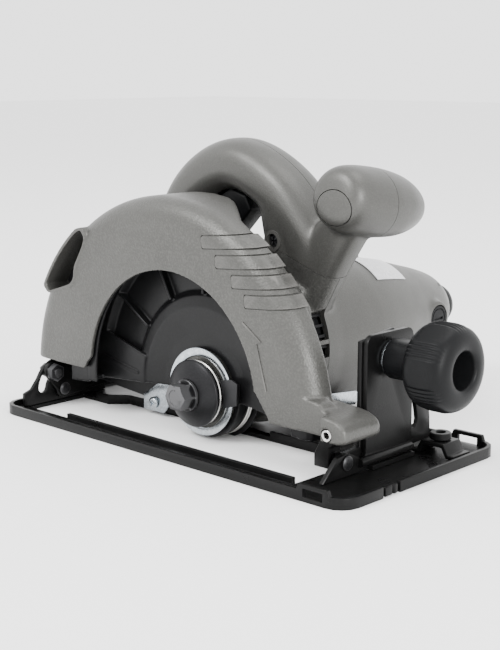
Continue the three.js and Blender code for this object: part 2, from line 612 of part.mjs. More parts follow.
function brushCap(side) {
  const skin = 31.5;                       // the housing's radius beside the brushes
  const cap = turned('x', [0, 0], [[0, skin - 9], [8.6, skin - 9], [8.6, skin + 1.2], [7.8, skin + 1.8],
    [0, skin + 1.8]], 20).subtract(box(skin + 0.8, skin + 3, -6, 6, -0.9, 0.9));
  return cap.rotate([0, 0, side > 0 ? 0 : 180]).translate([MOTOR.x, BRUSH_Y, MOTOR.z]);
}

function carbonBrush(side) {
  return box(14.4, 21.8, -5, 5, -3.2, 3.2).rotate([0, 0, side > 0 ? 0 : 180])
    .translate([MOTOR.x, BRUSH_Y, MOTOR.z]);
}

add('gear_housing', gearHousing(), PAINT);
add('motor_housing', motorHousing(), PAINT);
add('vent_cap', ventCap(), BLACK_PLASTIC);
add('brush_cap_front', brushCap(1), BLACK_PLASTIC);
add('brush_cap_rear', brushCap(-1), BLACK_PLASTIC);
add('carbon_brush_front', carbonBrush(1), BLACK_PLASTIC);
add('carbon_brush_rear', carbonBrush(-1), BLACK_PLASTIC);

function ratingLabel() {
  const jacket = (inset) => turned('y', motorC, [[0, 78], ...bodyProfile(inset), [0, BODY_Y1]], 48);
  const patch = prism('y', sector(motorC, 30, 60, 47, 81, 4), 88, 121);
  return jacket(-GAP - 0.5).subtract(jacket(-GAP)).intersect(patch);
}
add('rating_label', ratingLabel(), WHITE_PLASTIC);

// ---------------------------------------------------------------- motor
const CORE = { y0: 56, y1: 98 };
add('field_coil', tube('y', motorC, 24.3, 38.2, CORE.y0 - 2, CORE.y1 + 2, 24), COPPER);

// Spur gear outline: `teeth` teeth of trapezoid form, a tooth centred on angle `phase`.
function gearOutline(c, teeth, phase) {
  const pitch = MODULE * teeth / 2;
  const step = 360 / teeth;
  const points = [];
  for (let i = 0; i < teeth; i++) {
    const a = phase + i * step;
    const [tip, flank, rootHalf] = [0.11 * step, 0.205 * step, 0.34 * step];
    points.push(
      at(c, pitch - 1.25 * MODULE, a - rootHalf), at(c, pitch - 0.1, a - flank),
      at(c, pitch + 0.8 * MODULE, a - tip), at(c, pitch + 0.8 * MODULE, a + tip),
      at(c, pitch - 0.1, a + flank), at(c, pitch - 1.25 * MODULE, a + rootHalf));
  }
  return points;
}
const MESH_DEG = Math.atan2(MOTOR.z - SPIN.z, MOTOR.x - SPIN.x) * 180 / Math.PI;

function armatureShaft() {
  const shaft = turned('y', motorC, [
    [0, 4.2], [3.4, 4.2], [3.4, 16], [4.8, 16], [4.8, 50], [5.5, 50],
    [5.5, 160], [3.8, 160], [3.8, 172], [0, 172],
  ], 16);
  // The pinion's gap faces the wheel's tooth.
  const phase = MESH_DEG + 180 + 180 / PINION_TEETH;
  const pinion = prism('y', gearOutline(motorC, PINION_TEETH, phase), 4.2, 14.5);
  return shaft.add(pinion);
}

function coolingFan() {
  let fan = union(tube('y', motorC, 5.1, 9, 30, 44, 20), tube('y', motorC, 6, 38.5, 30, 31.8, 32));
  for (let i = 0; i < 9; i++) {
    const blade = box(8, 37, 31, 42, -0.9, 0.9).rotate([0, 40 * i, 0]);
    fan = fan.add(blade.translate([MOTOR.x, 0, MOTOR.z]));
  }
  return fan;
}

add('armature_shaft', armatureShaft(), STEEL);
add('armature_core', tube('y', motorC, 5.8, 23, CORE.y0, CORE.y1, 24), COPPER);
add('commutator', tube('y', motorC, 5.8, 14, 141, 157, 24), COPPER);
add('cooling_fan', coolingFan(), BLACK_PLASTIC);

const bearing = (c, inner, outer, y0, y1) => tube('y', c, inner + GAP, outer - GAP, y0, y1, 20);
add('armature_bearing_front', bearing(motorC, 4.8, 13.3, 17.3, 25.3), STEEL);
add('armature_bearing_rear', bearing(motorC, 3.8, 11.3, 162.5, 169.5), STEEL);
add('spindle_bearing_front', bearing(spinC, 6, 16.2, -19.8, -9.8), STEEL);
add('spindle_bearing_rear', bearing(spinC, 4, 11.3, 15.4, 22), STEEL);

// ---------------------------------------------------------------- spindle and blade clamp
const BLADE_SEAT_Y = -27.4;              // face of the inner flange that the blade lies against

function spindle() {
  return turned('y', spinC, [[0, -27], [6, -27], [6, -8], [7, -8], [7, 3], [4.9, 3], [4.9, 14.9], [4, 14.9],
    [4, 21.6], [0, 21.6]], 20).subtract(rod('y', spinC, 4, -30, -20.5, 16));
}
// The blade's bore, 16 mm across, sits on the spigot of the inner flange.
function innerFlange() {
  return turned('y', spinC, [
    [6.3, -29.2], [7.95, -29.2], [7.95, BLADE_SEAT_Y], [19, BLADE_SEAT_Y], [19, -25.25],
    [6.3, -25.25], [6.3, -29.2],
  ], 28);
}
function outerFlange() {
  return turned('y', spinC, [
    [4.6, -29.6], [19.8, -29.6], [19.8, -31], [18.6, -32.2], [12, -34.6], [4.6, -34.9], [4.6, -29.6],
  ], 32);
}
function bladeBolt() {
  const head = turned('y', spinC, [[0, -45.6], [6.4, -45.6], [8.1, -44.6], [8.1, -37.2], [0, -37.2]], 6);
  const washer = tube('y', spinC, 1, 9.2, -37.3, -35.25, 24);
  return union(rod('y', spinC, 3.65, -40, -21, 16), washer, head);
}
function spindleGear() {
  const wheel = prism('y', gearOutline(spinC, GEAR_TEETH, MESH_DEG), 3.9, 13.6);
  return wheel.subtract(rod('y', spinC, 5.25, 0, 20, 24));
}
add('spindle', spindle(), STEEL);
add('spindle_gear', spindleGear(), STEEL);
add('inner_flange', innerFlange(), STEEL);
add('outer_flange', outerFlange(), BLACK_STEEL);
add('blade_bolt', bladeBolt(), BLACK_STEEL);

// ---------------------------------------------------------------- handle
const LOOP = [[52, 91], [38, 112], [12, 140], [-22, 154.5], [-53, 141], [-71, 112], [-69, 80], [-46, 60]];
const NECK = [[44, 92], [48, 104], [57, 119], [70, 138]];
const GRIP = { x: 74.1, y: 27, z: 140.1, lean: -9.75 };   // front grip, an egg lying nearly along Y

const GRIP_CAP = { x: 75.2, z: 139, w: 11.4, h: 9.5, seatY: 1 };   // oval cap, its half-width and height

// The front grip's half-width along its own axis, `inset` inside its skin.
function gripProfile(inset) {
  const points = [
    [12.5, -29.3], [15.4, -27.1], [17.6, -22.4], [18.8, -13.1], [19.3, 0], [19, 10], [17.7, 21],
    [14.9, 31], [10.7, 39.7], [5.6, 44.7], [0, 46.5],
  ];
  return [[0, -30.4 + inset], ...points.map(([r, y], i) =>
    [Math.max(r - inset, 0), i < 2 ? y + inset : i > 8 ? y - inset : y])];
}

// The handle is drawn as a skin, and again, smaller and coarser, as the hollow inside it.
function grip(inset) {
  return turned('y', [0, 0], gripProfile(inset), inset ? 12 : 24).scale([1.04, 1, 1])
    .rotate([GRIP.lean, 0, 0]).translate([GRIP.x, GRIP.y, GRIP.z]);
}

function handleSolid(inset) {
  const [steps, sides] = inset ? [10, 8] : [16, 12];
  const bar = ovalBar(LOOP, PART_Y, GRIP_W - 2 * inset, GRIP_T - 2 * inset, steps, sides);
  const neck = ovalBar(NECK, PART_Y, 33 - 2 * inset, 27 - 2 * inset, 6, sides);
  const foot = prism('y', [
    [10 + inset, 110.4], [14, 118], [36, 124], [58, 120], [66 - inset, 115], [62 - inset, 108],
    [59 - inset, 99], [55.5 - inset, 94.2], [52, 93.6 + inset], [38, 102 + inset], [22, 107],
  ], PART_Y - 15 + inset, PART_Y + 15 - inset);
  return union(bar, neck, foot, grip(inset));
}

// Room that the handle leaves for the motor housing, the depth lock and the trigger.
function handleRoom() {
  const y0 = CASE_Y0 - 1;
  const r = BODY_R + 0.5;
  return union(
    turned('y', motorC, [[0, y0], [47.3, y0], [47.3, 38], [r, 40], [r, 70], [0, 70]], 32),
    prism('y', [
      [-60, 40], [-27, 80], [-24.5, 94], [8.6, 98.9], ...SADDLE_TOP.map(([x, z]) => [x, z + GAP]),
      [64, 93.5], [60, 40],
    ], y0, 60),
    box(-90, 40, 0, 70, -10, 40));
}

const TRIGGER = {
  outline: [[-9, 129.5], [-33, 105], [-37, 104], [-41, 107], [-46, 120], [-40, 134], [-26, 142], [-13, 138]],
  middle: [-28, 124], width: 16, travel: 6, up: 135,
};
const LOCK_OFF = [-50, 141];             // the lock-off button, along Y in the far half

// The trigger's outline `grow` larger all round, pressed in by `pressed`.
function triggerShape(grow, pressed) {
  const outline = TRIGGER.outline.map((p) => {
    const [dx, dz] = [p[0] - TRIGGER.middle[0], p[1] - TRIGGER.middle[1]];
    const k = 1 + grow / Math.hypot(dx, dz);
    return at([TRIGGER.middle[0] + k * dx, TRIGGER.middle[1] + k * dz], pressed, TRIGGER.up);
  });
  const half = TRIGGER.width / 2 + grow;
  return prism('y', outline, PART_Y - half, PART_Y + half);
}

function handle() {
  const wall = 3.4;
  const hollow = handleSolid(wall).subtract(box(-200, 200, -60, 9, 0, 300));
  const end = TRIGGER.travel + 0.5;
  const shell = handleSolid(0).subtract(handleRoom()).subtract(hollow)
    .subtract(union(triggerShape(1, 0), triggerShape(1, end / 2), triggerShape(1, end)))
    .subtract(rod('y', LOCK_OFF, 5.6, PART_Y + 5, 70, 20))
    .subtract(rod('y', [18.2, 114.7], 4.2, 0, 18.5, 16))
    .subtract(rod('x', [PART_Y, 72], 9.5, -100, -60, 20));
  const near = box(-200, 200, -60, PART_Y - GAP / 2, 0, 300);
  const far = box(-200, 200, PART_Y + GAP / 2, 200, 0, 300);
  return [shell.intersect(near), shell.intersect(far)];
}
const [nearHalf, farHalf] = handle();

// The cap in the near end of the grip is an oval, flush with the skin.
function capPlug(grow) {
  const { x, z, w, h, seatY } = GRIP_CAP;
  const oval = arc([0, 0], 1, 0, 345, 23).map(([c, s]) => [x + (w + grow) * c, z + (h + grow) * s]);
  return prism('y', oval, -12, seatY + grow);
}
add('handle_near_half', nearHalf.subtract(capPlug(GAP)), PAINT);
add('handle_far_half', farHalf, PAINT);
add('grip_cap', grip(0).intersect(capPlug(0)), PAINT);

function lockOffButton() {
  return turned('y', LOCK_OFF, [[0, 41.2], [5, 41.2], [5, 51.5], [4, 52.6], [0, 52.6]], 16);
}

function cordGland() {
  const profile = [[3.6, -92], [8, -92], [9.2, -90], [9.2, -74], [3.6, -74], [3.6, -92]];
  return turned('x', [PART_Y, 72], profile, 20);
}

add('trigger', triggerShape(0, 0), BLACK_PLASTIC);
add('lock_off_button', lockOffButton(), BLACK_PLASTIC);
add('switch_body', box(-24, -2, PART_Y - 8, PART_Y + 8, 147, 159), BLACK_PLASTIC);
add('cord_gland', cordGland(), BLACK_PLASTIC);

// ---------------------------------------------------------------- controls and small parts
function shaftLock() {
  const strip = box(25.4, 66.5, 4.55, 7.05, 28.6, 33.8);
  const tab = prism('x', [
    [4.55, 27.5], [27, 23.8], [29.5, 26], [29.5, 31], [27, 32], [8, 33.8], [4.55, 33.8],
  ], 66, 68.4);
  return union(strip, tab);
}
add('shaft_lock', shaftLock(), ZINC);

function depthBolt() {
  const c = at(swingC, GUIDE_R, GUIDE_DEG);
  const y1 = GUIDE.y0 - GAP;
  return turned('y', c, [[0, 2.7], [6.2, 2.7], [6.2, y1], [3, y1], [3, 27], [0, 27]], 16);
}
add('depth_bolt', depthBolt(), STEEL);

function depthLever() {
  const c = at(swingC, GUIDE_R, GUIDE_DEG);
  const blade = [[0, -7.5], [-34, -1], [-40, 2], [-39, 7], [-32, 8.5], [0, 7.5]];
  const paddle = prism('y', blade.map(([x, z]) => [c[0] + x, c[1] + z]), 18.5, 23.5);
  return rod('y', c, 8.5, 16.4, 24.5, 20).add(paddle).subtract(rod('y', c, 3.35, 10, 40, 16));
}
add('depth_lever', depthLever(), BLACK_PLASTIC);

function springBracket() {
  return prism('y', [
    [-72, 3], [-54, 3], [-48, 10], [-36, 24], [-34, 36], [-44, 38], [-58, 22], [-72, 12.5],
  ], -8.7, -6.9);
}
add('spring_bracket', springBracket(), ZINC);
add('bracket_screw', rod('y', [-62, 8.5], 3.6, -11.1, -9.05, 16), STEEL);

export default root;
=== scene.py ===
"""Circular saw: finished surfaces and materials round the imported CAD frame.

Shape functions work in millimetres, in the frame's own axes: -Y is the blade side, +X the way the saw
cuts. finish_piece() turns a shape into metres and gives it to its CAD body.
"""

import json
import math

import bmesh
import bpy
from mathutils import Matrix, Vector

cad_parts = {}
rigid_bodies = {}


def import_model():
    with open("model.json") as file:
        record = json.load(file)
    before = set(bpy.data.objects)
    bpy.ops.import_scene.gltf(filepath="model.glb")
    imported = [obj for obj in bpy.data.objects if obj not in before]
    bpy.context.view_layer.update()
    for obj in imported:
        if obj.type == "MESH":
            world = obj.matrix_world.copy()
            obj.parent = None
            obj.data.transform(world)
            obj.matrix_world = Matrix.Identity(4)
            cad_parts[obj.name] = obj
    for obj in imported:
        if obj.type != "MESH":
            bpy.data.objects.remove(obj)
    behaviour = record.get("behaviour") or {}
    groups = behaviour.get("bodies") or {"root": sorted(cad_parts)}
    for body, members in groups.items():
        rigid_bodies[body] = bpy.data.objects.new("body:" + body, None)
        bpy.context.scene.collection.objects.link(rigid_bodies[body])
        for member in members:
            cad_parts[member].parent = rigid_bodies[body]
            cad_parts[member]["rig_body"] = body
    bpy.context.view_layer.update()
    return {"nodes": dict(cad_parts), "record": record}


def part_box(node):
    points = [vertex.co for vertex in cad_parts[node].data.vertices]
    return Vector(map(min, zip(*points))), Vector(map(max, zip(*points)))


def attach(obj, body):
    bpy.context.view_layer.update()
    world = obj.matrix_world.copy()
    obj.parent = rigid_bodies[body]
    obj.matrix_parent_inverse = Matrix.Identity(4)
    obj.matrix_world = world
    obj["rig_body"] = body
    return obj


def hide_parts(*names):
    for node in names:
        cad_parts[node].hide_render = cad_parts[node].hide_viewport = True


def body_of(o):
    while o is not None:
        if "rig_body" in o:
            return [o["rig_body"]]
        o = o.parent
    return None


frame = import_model()

MM = 0.001
AXIS_ORDER = {"x": (1, 2, 0), "y": (0, 2, 1), "z": (0, 1, 2)}


def frame_box(node):
    """A CAD node's lowest and highest corners in millimetres."""
    low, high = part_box(node)
    return low / MM, high / MM


# ------------------------------------------------------------------ places that the frame gives
def joint_place(name):
    joint = next(j for j in frame["record"]["behaviour"]["joints"] if j["name"] == name)
    return Vector(joint["pos_m"]) / MM


SPIN = joint_place("blade_spin")
MOTOR = joint_place("armature_spin")
SWING = joint_place("depth_swing")
TILT = joint_place("bevel_tilt")
KNOB = joint_place("bevel_clamp_turn")
LOCK = joint_place("depth_clamp_turn")
SPIN_C = (SPIN.x, SPIN.z)
MOTOR_C = (MOTOR.x, MOTOR.z)
SWING_C = (SWING.x, SWING.z)
TILT_C = (TILT.y, TILT.z)
KNOB_C = (KNOB.y, KNOB.z)
LOCK_C = (LOCK.x, LOCK.z)

GUARD_C = (-25.2, 21.5)      # middle of the upper guard's round outline, in X and Z
GUARD_R = 119.2
GUARD_WALL = 2.4
WEB_R = 101.5                # its back web at the front, where the rim is narrow
WEB_Y = -6.0                 # and the web's near face
FACE_Y = -39.3               # outer face of the upper guard
HOOD_Y = 2.0                 # back edge of its rim over the top
RIM_Y = -21.0                # and at the front
MOUTH_C = (-17.2, 30.1)
MOUTH_R = 69.0
LOWER_R = 94.3               # lower guard's outer radius
BODY_R = 44.6                # motor housing over the field coil
CASE_Y1 = 24.0               # gear housing's back face
BODY_Y1 = 186.0              # motor housing's far end
PART_Y = 29.7                # parting plane of the handle
SEAM = 0.35                  # joint line between two housings
HANDLE_WALL = 3.4
LOOP_WIDE = 38               # rear handle across Y
LOOP_THICK = 31              # and in its own plane
NECK_WIDE = 27
BRUSH_C = (149, MOTOR.z)     # axis of the two brush caps, in Y and Z
BRUSH_REACH = 33.6           # from the motor's axis to the end of a brush boss
WEB_SHADE_Y = (-6.9, -6.05)      # black plate of painted shade on the guard's web
# depth of the black plate of painted shade at the bottom of the chip chute
CHUTE_FLOOR_Y = (-22.9, -22.1)
GUARD_SEGMENTS = 220
OVAL_POWER = 0.8             # below 1 makes an oval section squarer
EASE_ANGLE = 30              # degrees, the least bend that ease() rounds
HEAD_CHAMFER = 0.8
WORN_POINTINESS = (0.53, 0.60)


# ------------------------------------------------------------------ shape kit
def at(centre, radius, degrees):
    angle = math.radians(degrees)
    return (centre[0] + radius * math.cos(angle), centre[1] + radius * math.sin(angle))


def arc(centre, radius, start, end, steps):
    return [at(centre, radius, start + (end - start) * i / steps) for i in range(steps + 1)]


def sector(centre, inner, outer, start, end, steps=40):
    return arc(centre, outer, start, end, steps) + arc(centre, inner, end, start, steps)


def rounded(points, radius, steps=5):
    """The same outline with its corners rounded."""
    out = []
    count = len(points)
    for i in range(count):
        corner = Vector(points[i])
        before = Vector(points[i - 1]) - corner
        after = Vector(points[(i + 1) % count]) - corner
        reach = min(radius, before.length * 0.45, after.length * 0.45)
        start = corner + before.normalized() * reach
        end = corner + after.normalized() * reach
        for k in range(steps + 1):
            t = k / steps
            out.append(tuple(start.lerp(corner, t).lerp(corner.lerp(end, t), t)))
    return out


def as_object(bm, name="shape"):
    bmesh.ops.recalc_face_normals(bm, faces=bm.faces)
    mesh = bpy.data.meshes.new(name)
    bm.to_mesh(mesh)
    bm.free()
    obj = bpy.data.objects.new(name, mesh)
    bpy.context.scene.collection.objects.link(obj)
    return obj


def spot(axis, a, b, along):
    i, j, k = AXIS_ORDER[axis]
    place = Vector((0, 0, 0))
    place[i], place[j], place[k] = a, b, along
    return place


def prism(axis, outline, low, high):
    """An outline drawn across an axis and extruded along it."""
    bm = bmesh.new()
    rings = [[bm.verts.new(spot(axis, a, b, along)) for a, b in outline] for along in (low, high)]
    count = len(outline)
    bm.faces.new(rings[0])
    bm.faces.new(rings[1])
    for i in range(count):
        k = (i + 1) % count
        bm.faces.new((rings[0][i], rings[0][k], rings[1][k], rings[1][i]))
    return as_object(bm)


def box(x0, x1, y0, y1, z0, z1):
    return prism("z", [(x0, y0), (x1, y0), (x1, y1), (x0, y1)], z0, z1)


def turned(axis, centre, profile, segments=96, radius_at=None):
    """A turned solid. The profile is (radius, place along the axis); a closed one makes a ring.

    radius_at(radius, along, degrees) may change the radius round the turn.
    """
    bm = bmesh.new()
    rings = []
    for radius, along in profile:
        if radius < 1e-6:
            rings.append([bm.verts.new(spot(axis, *centre, along))])
            continue
        ring = []
        for s in range(segments):
            degrees = 360 * s / segments
            r = radius_at(radius, along, degrees) if radius_at else radius
            a, b = at(centre, r, degrees)
            ring.append(bm.verts.new(spot(axis, a, b, along)))
        rings.append(ring)
    pairs = list(zip(rings, rings[1:]))
    if len(rings[0]) > 1:
        pairs.append((rings[-1], rings[0]))
    for one, two in pairs:
        for s in range(segments):
            n = (s + 1) % segments
            corners = {one[s % len(one)]: 0, one[n % len(one)]: 0,
                       two[n % len(two)]: 0, two[s % len(two)]: 0}
            if len(corners) > 2:
                bm.faces.new(list(corners))
    return as_object(bm)


def rod(axis, centre, radius, low, high, segments=48):
    return turned(axis, centre, [(0, low), (radius, low), (radius, high), (0, high)], segments)


def tube(axis, centre, inner, outer, low, high, segments=96):
    return turned(axis, centre, [(inner, low), (outer, low), (outer, high), (inner, high)], segments)


def curve_points(points, steps):
    """Points on a smooth curve through the given ones."""
    pts = [Vector(p) for p in points]
    pts = [2 * pts[0] - pts[1]] + pts + [2 * pts[-1] - pts[-2]]
    out = []
    for i in range(1, len(pts) - 2):
        p0, p1, p2, p3 = pts[i - 1:i + 3]
        for k in range(steps):
            t = k / steps
            out.append(0.5 * ((2 * p1) + (p2 - p0) * t + (2 * p0 - 5 * p1 + 4 * p2 - p3) * t * t
                              + (3 * p1 - p0 - 3 * p2 + p3) * t ** 3))
    return out + [pts[-2]]


def bar(points, y, width, thick, steps=10, sides=32):
    """A bar of soft oval section along a curve in the plane Y = y. thick may change along it."""
    path = curve_points([(x, y, z) for x, z in points], steps)
    bm = bmesh.new()
    rings = []
    for i, point in enumerate(path):
        ahead = path[min(i + 1, len(path) - 1)] - path[max(i - 1, 0)]
        across = ahead.normalized().cross(Vector((0, 1, 0)))
        depth = thick(i / (len(path) - 1)) if callable(thick) else thick
        ring = []
        for s in range(sides):
            angle = 2 * math.pi * s / sides
            u = math.copysign(abs(math.cos(angle)) ** OVAL_POWER, math.cos(angle)) * depth / 2
            v = math.copysign(abs(math.sin(angle)) ** OVAL_POWER, math.sin(angle)) * width / 2
            ring.append(bm.verts.new(point + across * u + Vector((0, v, 0))))
        rings.append(ring)
    for one, two in zip(rings, rings[1:]):
        for s in range(sides):
            n = (s + 1) % sides
            bm.faces.new((one[s], one[n], two[n], two[s]))
    bm.faces.new(rings[0])
    bm.faces.new(rings[-1])
    return as_object(bm)


def settle(obj):
    """Applies an object's modifiers."""
    graph = bpy.context.evaluated_depsgraph_get()
    mesh = bpy.data.meshes.new_from_object(obj.evaluated_get(graph))
    obj.modifiers.clear()
    old = obj.data
    obj.data = mesh
    bpy.data.meshes.remove(old)
    return obj


def combine(operation, first, others):
    for other in others:
        mod = first.modifiers.new("combine", "BOOLEAN")
        mod.operation = operation
        mod.object = other
        mod.solver = "MANIFOLD"
        settle(first)
        bpy.data.objects.remove(other)
    return first


def join(first, *others):
    return combine("UNION", first, others)


def cut(first, *others):
    return combine("DIFFERENCE", first, others)


def common(first, *others):
    return combine("INTERSECT", first, others)


def copy_of(obj):
    other = obj.copy()
    other.data = obj.data.copy()
    bpy.context.scene.collection.objects.link(other)
    return other


def turn(obj, axis, degrees, place=(0, 0, 0)):
    """Turns a shape about an axis through the origin, then moves it."""
    obj.data.transform(Matrix.Translation(Vector(place)) @ Matrix.Rotation(math.radians(degrees), 4, axis))
    return obj


def soften(obj, voxel, rounds):
    """Rounds every edge as a casting's or moulding's are: a fine even mesh, then smoothed."""
    remesh = obj.modifiers.new("remesh", "REMESH")
    remesh.mode = "VOXEL"
    remesh.voxel_size = voxel
    smooth = obj.modifiers.new("smooth", "SMOOTH")
    smooth.factor = 0.5
    smooth.iterations = rounds
    return settle(obj)


def ease(obj, width, segments=2):
    """Eases the sharp edges of sheet metal and machined pieces."""
    bevel = obj.modifiers.new("ease", "BEVEL")
    bevel.width = width
    bevel.segments = segments
    bevel.limit_method = "ANGLE"
    bevel.angle_limit = math.radians(EASE_ANGLE)
    bevel.use_clamp_overlap = True
    return settle(obj)


def from_node(node):
    """A CAD node's own shape in millimetres, with its flat faces joined up."""
    source = frame["nodes"][node]
    bm = bmesh.new()
    bm.from_mesh(source.data)
    bmesh.ops.remove_doubles(bm, verts=bm.verts, dist=1e-6)
    bmesh.ops.dissolve_limit(bm, angle_limit=math.radians(0.5), verts=bm.verts, edges=bm.edges)
    bmesh.ops.scale(bm, vec=(1 / MM, 1 / MM, 1 / MM), verts=bm.verts)
    return as_object(bm)


def finish_piece(obj, name, body, material, nodes=(), sharp=35):
    """Names a finished shape, brings it to metres and hands it to its CAD body."""
    obj.name = name
    obj.data.name = name
    obj.data.transform(Matrix.Scale(MM, 4))
    obj.data.materials.clear()
    obj.data.materials.append(material)
    obj.data.shade_smooth()
    obj.data.set_sharp_from_angle(angle=math.radians(sharp))
    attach(obj, body)
    if nodes:
        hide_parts(*nodes)
    return obj


# ------------------------------------------------------------------ materials
def node_material(name):
    mat = bpy.data.materials.new(name)
    mat.use_nodes = True
    tree = mat.node_tree
    return mat, tree, tree.nodes["Principled BSDF"]


def add_noise(tree, scale, detail=4.0, rough=0.6, stretch=(1, 1, 1)):
    """A noise texture in object space. scale is in features per metre."""
    coords = tree.nodes.new("ShaderNodeTexCoord")
    mapping = tree.nodes.new("ShaderNodeMapping")
    mapping.inputs["Scale"].default_value = stretch
    noise = tree.nodes.new("ShaderNodeTexNoise")
    noise.inputs["Scale"].default_value = scale
    noise.inputs["Detail"].default_value = detail
    noise.inputs["Roughness"].default_value = rough
    tree.links.new(coords.outputs["Object"], mapping.inputs["Vector"])
    tree.links.new(mapping.outputs["Vector"], noise.inputs["Vector"])
    return noise.outputs["Fac"]


def ramp(tree, source, stops):
    """A colour ramp; stops are (place, colour)."""
    node = tree.nodes.new("ShaderNodeValToRGB")
    elements = node.color_ramp.elements
    while len(elements) < len(stops):
        elements.new(0.5)
    for element, (place, colour) in zip(elements, stops):
        element.position = place
        element.color = (*colour, 1)
    tree.links.new(source, node.inputs["Fac"])
    return node.outputs["Color"]


def spread(tree, source, low, high, from_low=0.3, from_high=0.7):
    """Maps a noise value onto a range."""
    node = tree.nodes.new("ShaderNodeMapRange")
    node.inputs["From Min"].default_value = from_low
    node.inputs["From Max"].default_value = from_high
    node.inputs["To Min"].default_value = low
    node.inputs["To Max"].default_value = high
    tree.links.new(source, node.inputs["Value"])
    return node.outputs["Result"]


def blend_colours(tree, mask, one, two):
    node = tree.nodes.new("ShaderNodeMix")
    node.data_type = "RGBA"
    tree.links.new(mask, node.inputs["Factor"])
    for socket, value in ((node.inputs[6], one), (node.inputs[7], two)):
        if isinstance(value, tuple):
            socket.default_value = (*value, 1)
        else:
            tree.links.new(value, socket)
    return node.outputs[2]


def edge_mask(tree):
    """1 on outward edges, where paint rubs thin, and 0 elsewhere."""
    geometry = tree.nodes.new("ShaderNodeNewGeometry")
    return spread(tree, geometry.outputs["Pointiness"], 0, 1, *WORN_POINTINESS)


def add_bump(tree, shader, source, strength, distance):
    bump = tree.nodes.new("ShaderNodeBump")
    bump.inputs["Strength"].default_value = strength
    bump.inputs["Distance"].default_value = distance
    tree.links.new(source, bump.inputs["Height"])
    tree.links.new(bump.outputs["Normal"], shader.inputs["Normal"])


def finish_material(name, dark, light, rough, metallic, grain, bump, worn=None, coat=0.0,
                    stretch=(1, 1, 1), gloss=0.5):
    """A painted, moulded or plated finish.

    dark and light bound the colour's slow variation, rough is a (low, high) roughness, grain is the fine
    texture's scale per metre, bump its depth in metres and worn the colour of rubbed edges.
    """
    mat, tree, shader = node_material(name)
    broad = add_noise(tree, 14, 3, 0.6, stretch)
    colour = ramp(tree, broad, [(0.3, dark), (0.7, light)])
    fine = add_noise(tree, grain, 2, 0.5, stretch)
    fleck = spread(tree, fine, 0.0, 0.6, 0.42, 0.72)
    colour = blend_colours(tree, fleck, colour, tuple(min(1.0, c * 1.35) for c in light))
    if worn:
        edges = edge_mask(tree)
        colour = blend_colours(tree, edges, colour, worn)
    tree.links.new(colour, shader.inputs["Base Color"])
    tree.links.new(spread(tree, add_noise(tree, 60, 4, 0.6, stretch), *rough), shader.inputs["Roughness"])
    shader.inputs["Metallic"].default_value = metallic
    shader.inputs["Specular IOR Level"].default_value = gloss
    shader.inputs["Coat Weight"].default_value = coat
    shader.inputs["Coat Roughness"].default_value = 0.25
    add_bump(tree, shader, fine, 0.5, bump)
    return mat


CAST_PAINT = finish_material("cast_paint", (0.052, 0.0515, 0.048), (0.066, 0.0655, 0.061), (0.36, 0.46), 0.5,
                             900, 0.0005, worn=(0.105, 0.102, 0.096))
BODY_PAINT = finish_material("body_paint", (0.052, 0.0515, 0.0475), (0.064, 0.0635, 0.0595), (0.34, 0.44),
                             0.5, 1400, 0.00018, worn=(0.092, 0.090, 0.085))
BLACK_COAT = finish_material("black_coat", (0.002, 0.002, 0.002), (0.004, 0.004, 0.004), (0.26, 0.38), 0.0,
                             900, 0.00008, gloss=0.13)
BLACK_PLASTIC = finish_material("black_plastic", (0.002, 0.0021, 0.0024), (0.004, 0.0042, 0.0046),
                                (0.34, 0.46), 0.0, 1800, 0.0001, worn=(0.006, 0.0062, 0.0068), gloss=0.12)
GUARD_BLACK = finish_material("guard_black", (0.003, 0.003, 0.0033), (0.006, 0.006, 0.0064), (0.3, 0.4), 0.0,
                              900, 0.00006, worn=(0.014, 0.014, 0.015), gloss=0.17)
DARK_STEEL = finish_material("dark_steel", (0.008, 0.008, 0.009), (0.016, 0.016, 0.017), (0.34, 0.46), 0.6,
                             1500, 0.00005, worn=(0.09, 0.09, 0.093), gloss=0.2)
BRIGHT_STEEL = finish_material("bright_steel", (0.42, 0.41, 0.40), (0.56, 0.55, 0.53), (0.2, 0.36), 1.0,
                               1600, 0.00003, stretch=(1, 8, 1))
ZINC_PLATE = finish_material("zinc_plate", (0.34, 0.37, 0.40), (0.48, 0.51, 0.53), (0.16, 0.3), 1.0,
                             700, 0.00004)
COPPER_WIRE = finish_material("copper_wire", (0.42, 0.16, 0.06), (0.6, 0.27, 0.12), (0.25, 0.4), 1.0,
                              1400, 0.0001, stretch=(1, 12, 1))
CARBON = finish_material("carbon", (0.02, 0.02, 0.021), (0.035, 0.035, 0.036), (0.5, 0.65), 0.0, 1500,
                         0.00006)
LABEL_FILM = finish_material("label_film", (0.42, 0.42, 0.43), (0.47, 0.47, 0.48), (0.25, 0.35), 0.0, 600,
                             0.00002, coat=0.3)


# ------------------------------------------------------------------ upper guard
def roll(radius, face, steps=14):
    """Profile of the guard's edge: the face, then a soft corner down to the rim."""
    corner = (radius - 12.7, face + 11.8)
    return [(corner[0] + 12.7 * math.sin(math.radians(90 * k / steps)),
             corner[1] - 11.8 * math.cos(math.radians(90 * k / steps))) for k in range(steps + 1)]


def guard_solid(inset, back):
    profile = [(0, FACE_Y + inset)] + roll(GUARD_R - inset, FACE_Y + inset)
    return turned("y", GUARD_C, profile + [(GUARD_R - inset, back), (0, back)], GUARD_SEGMENTS)


def guard_plan():
    """In plan the rim's back edge runs from the hood over the top to the narrower front."""
    outline = [(-160, -60), (160, -60), (160, RIM_Y), (32, RIM_Y), (24, RIM_Y + 1.5), (2, HOOD_Y - 4),
               (-5, HOOD_Y - 0.8), (-14, HOOD_Y), (-160, HOOD_Y)]
    return prism("z", outline, -10, 160)


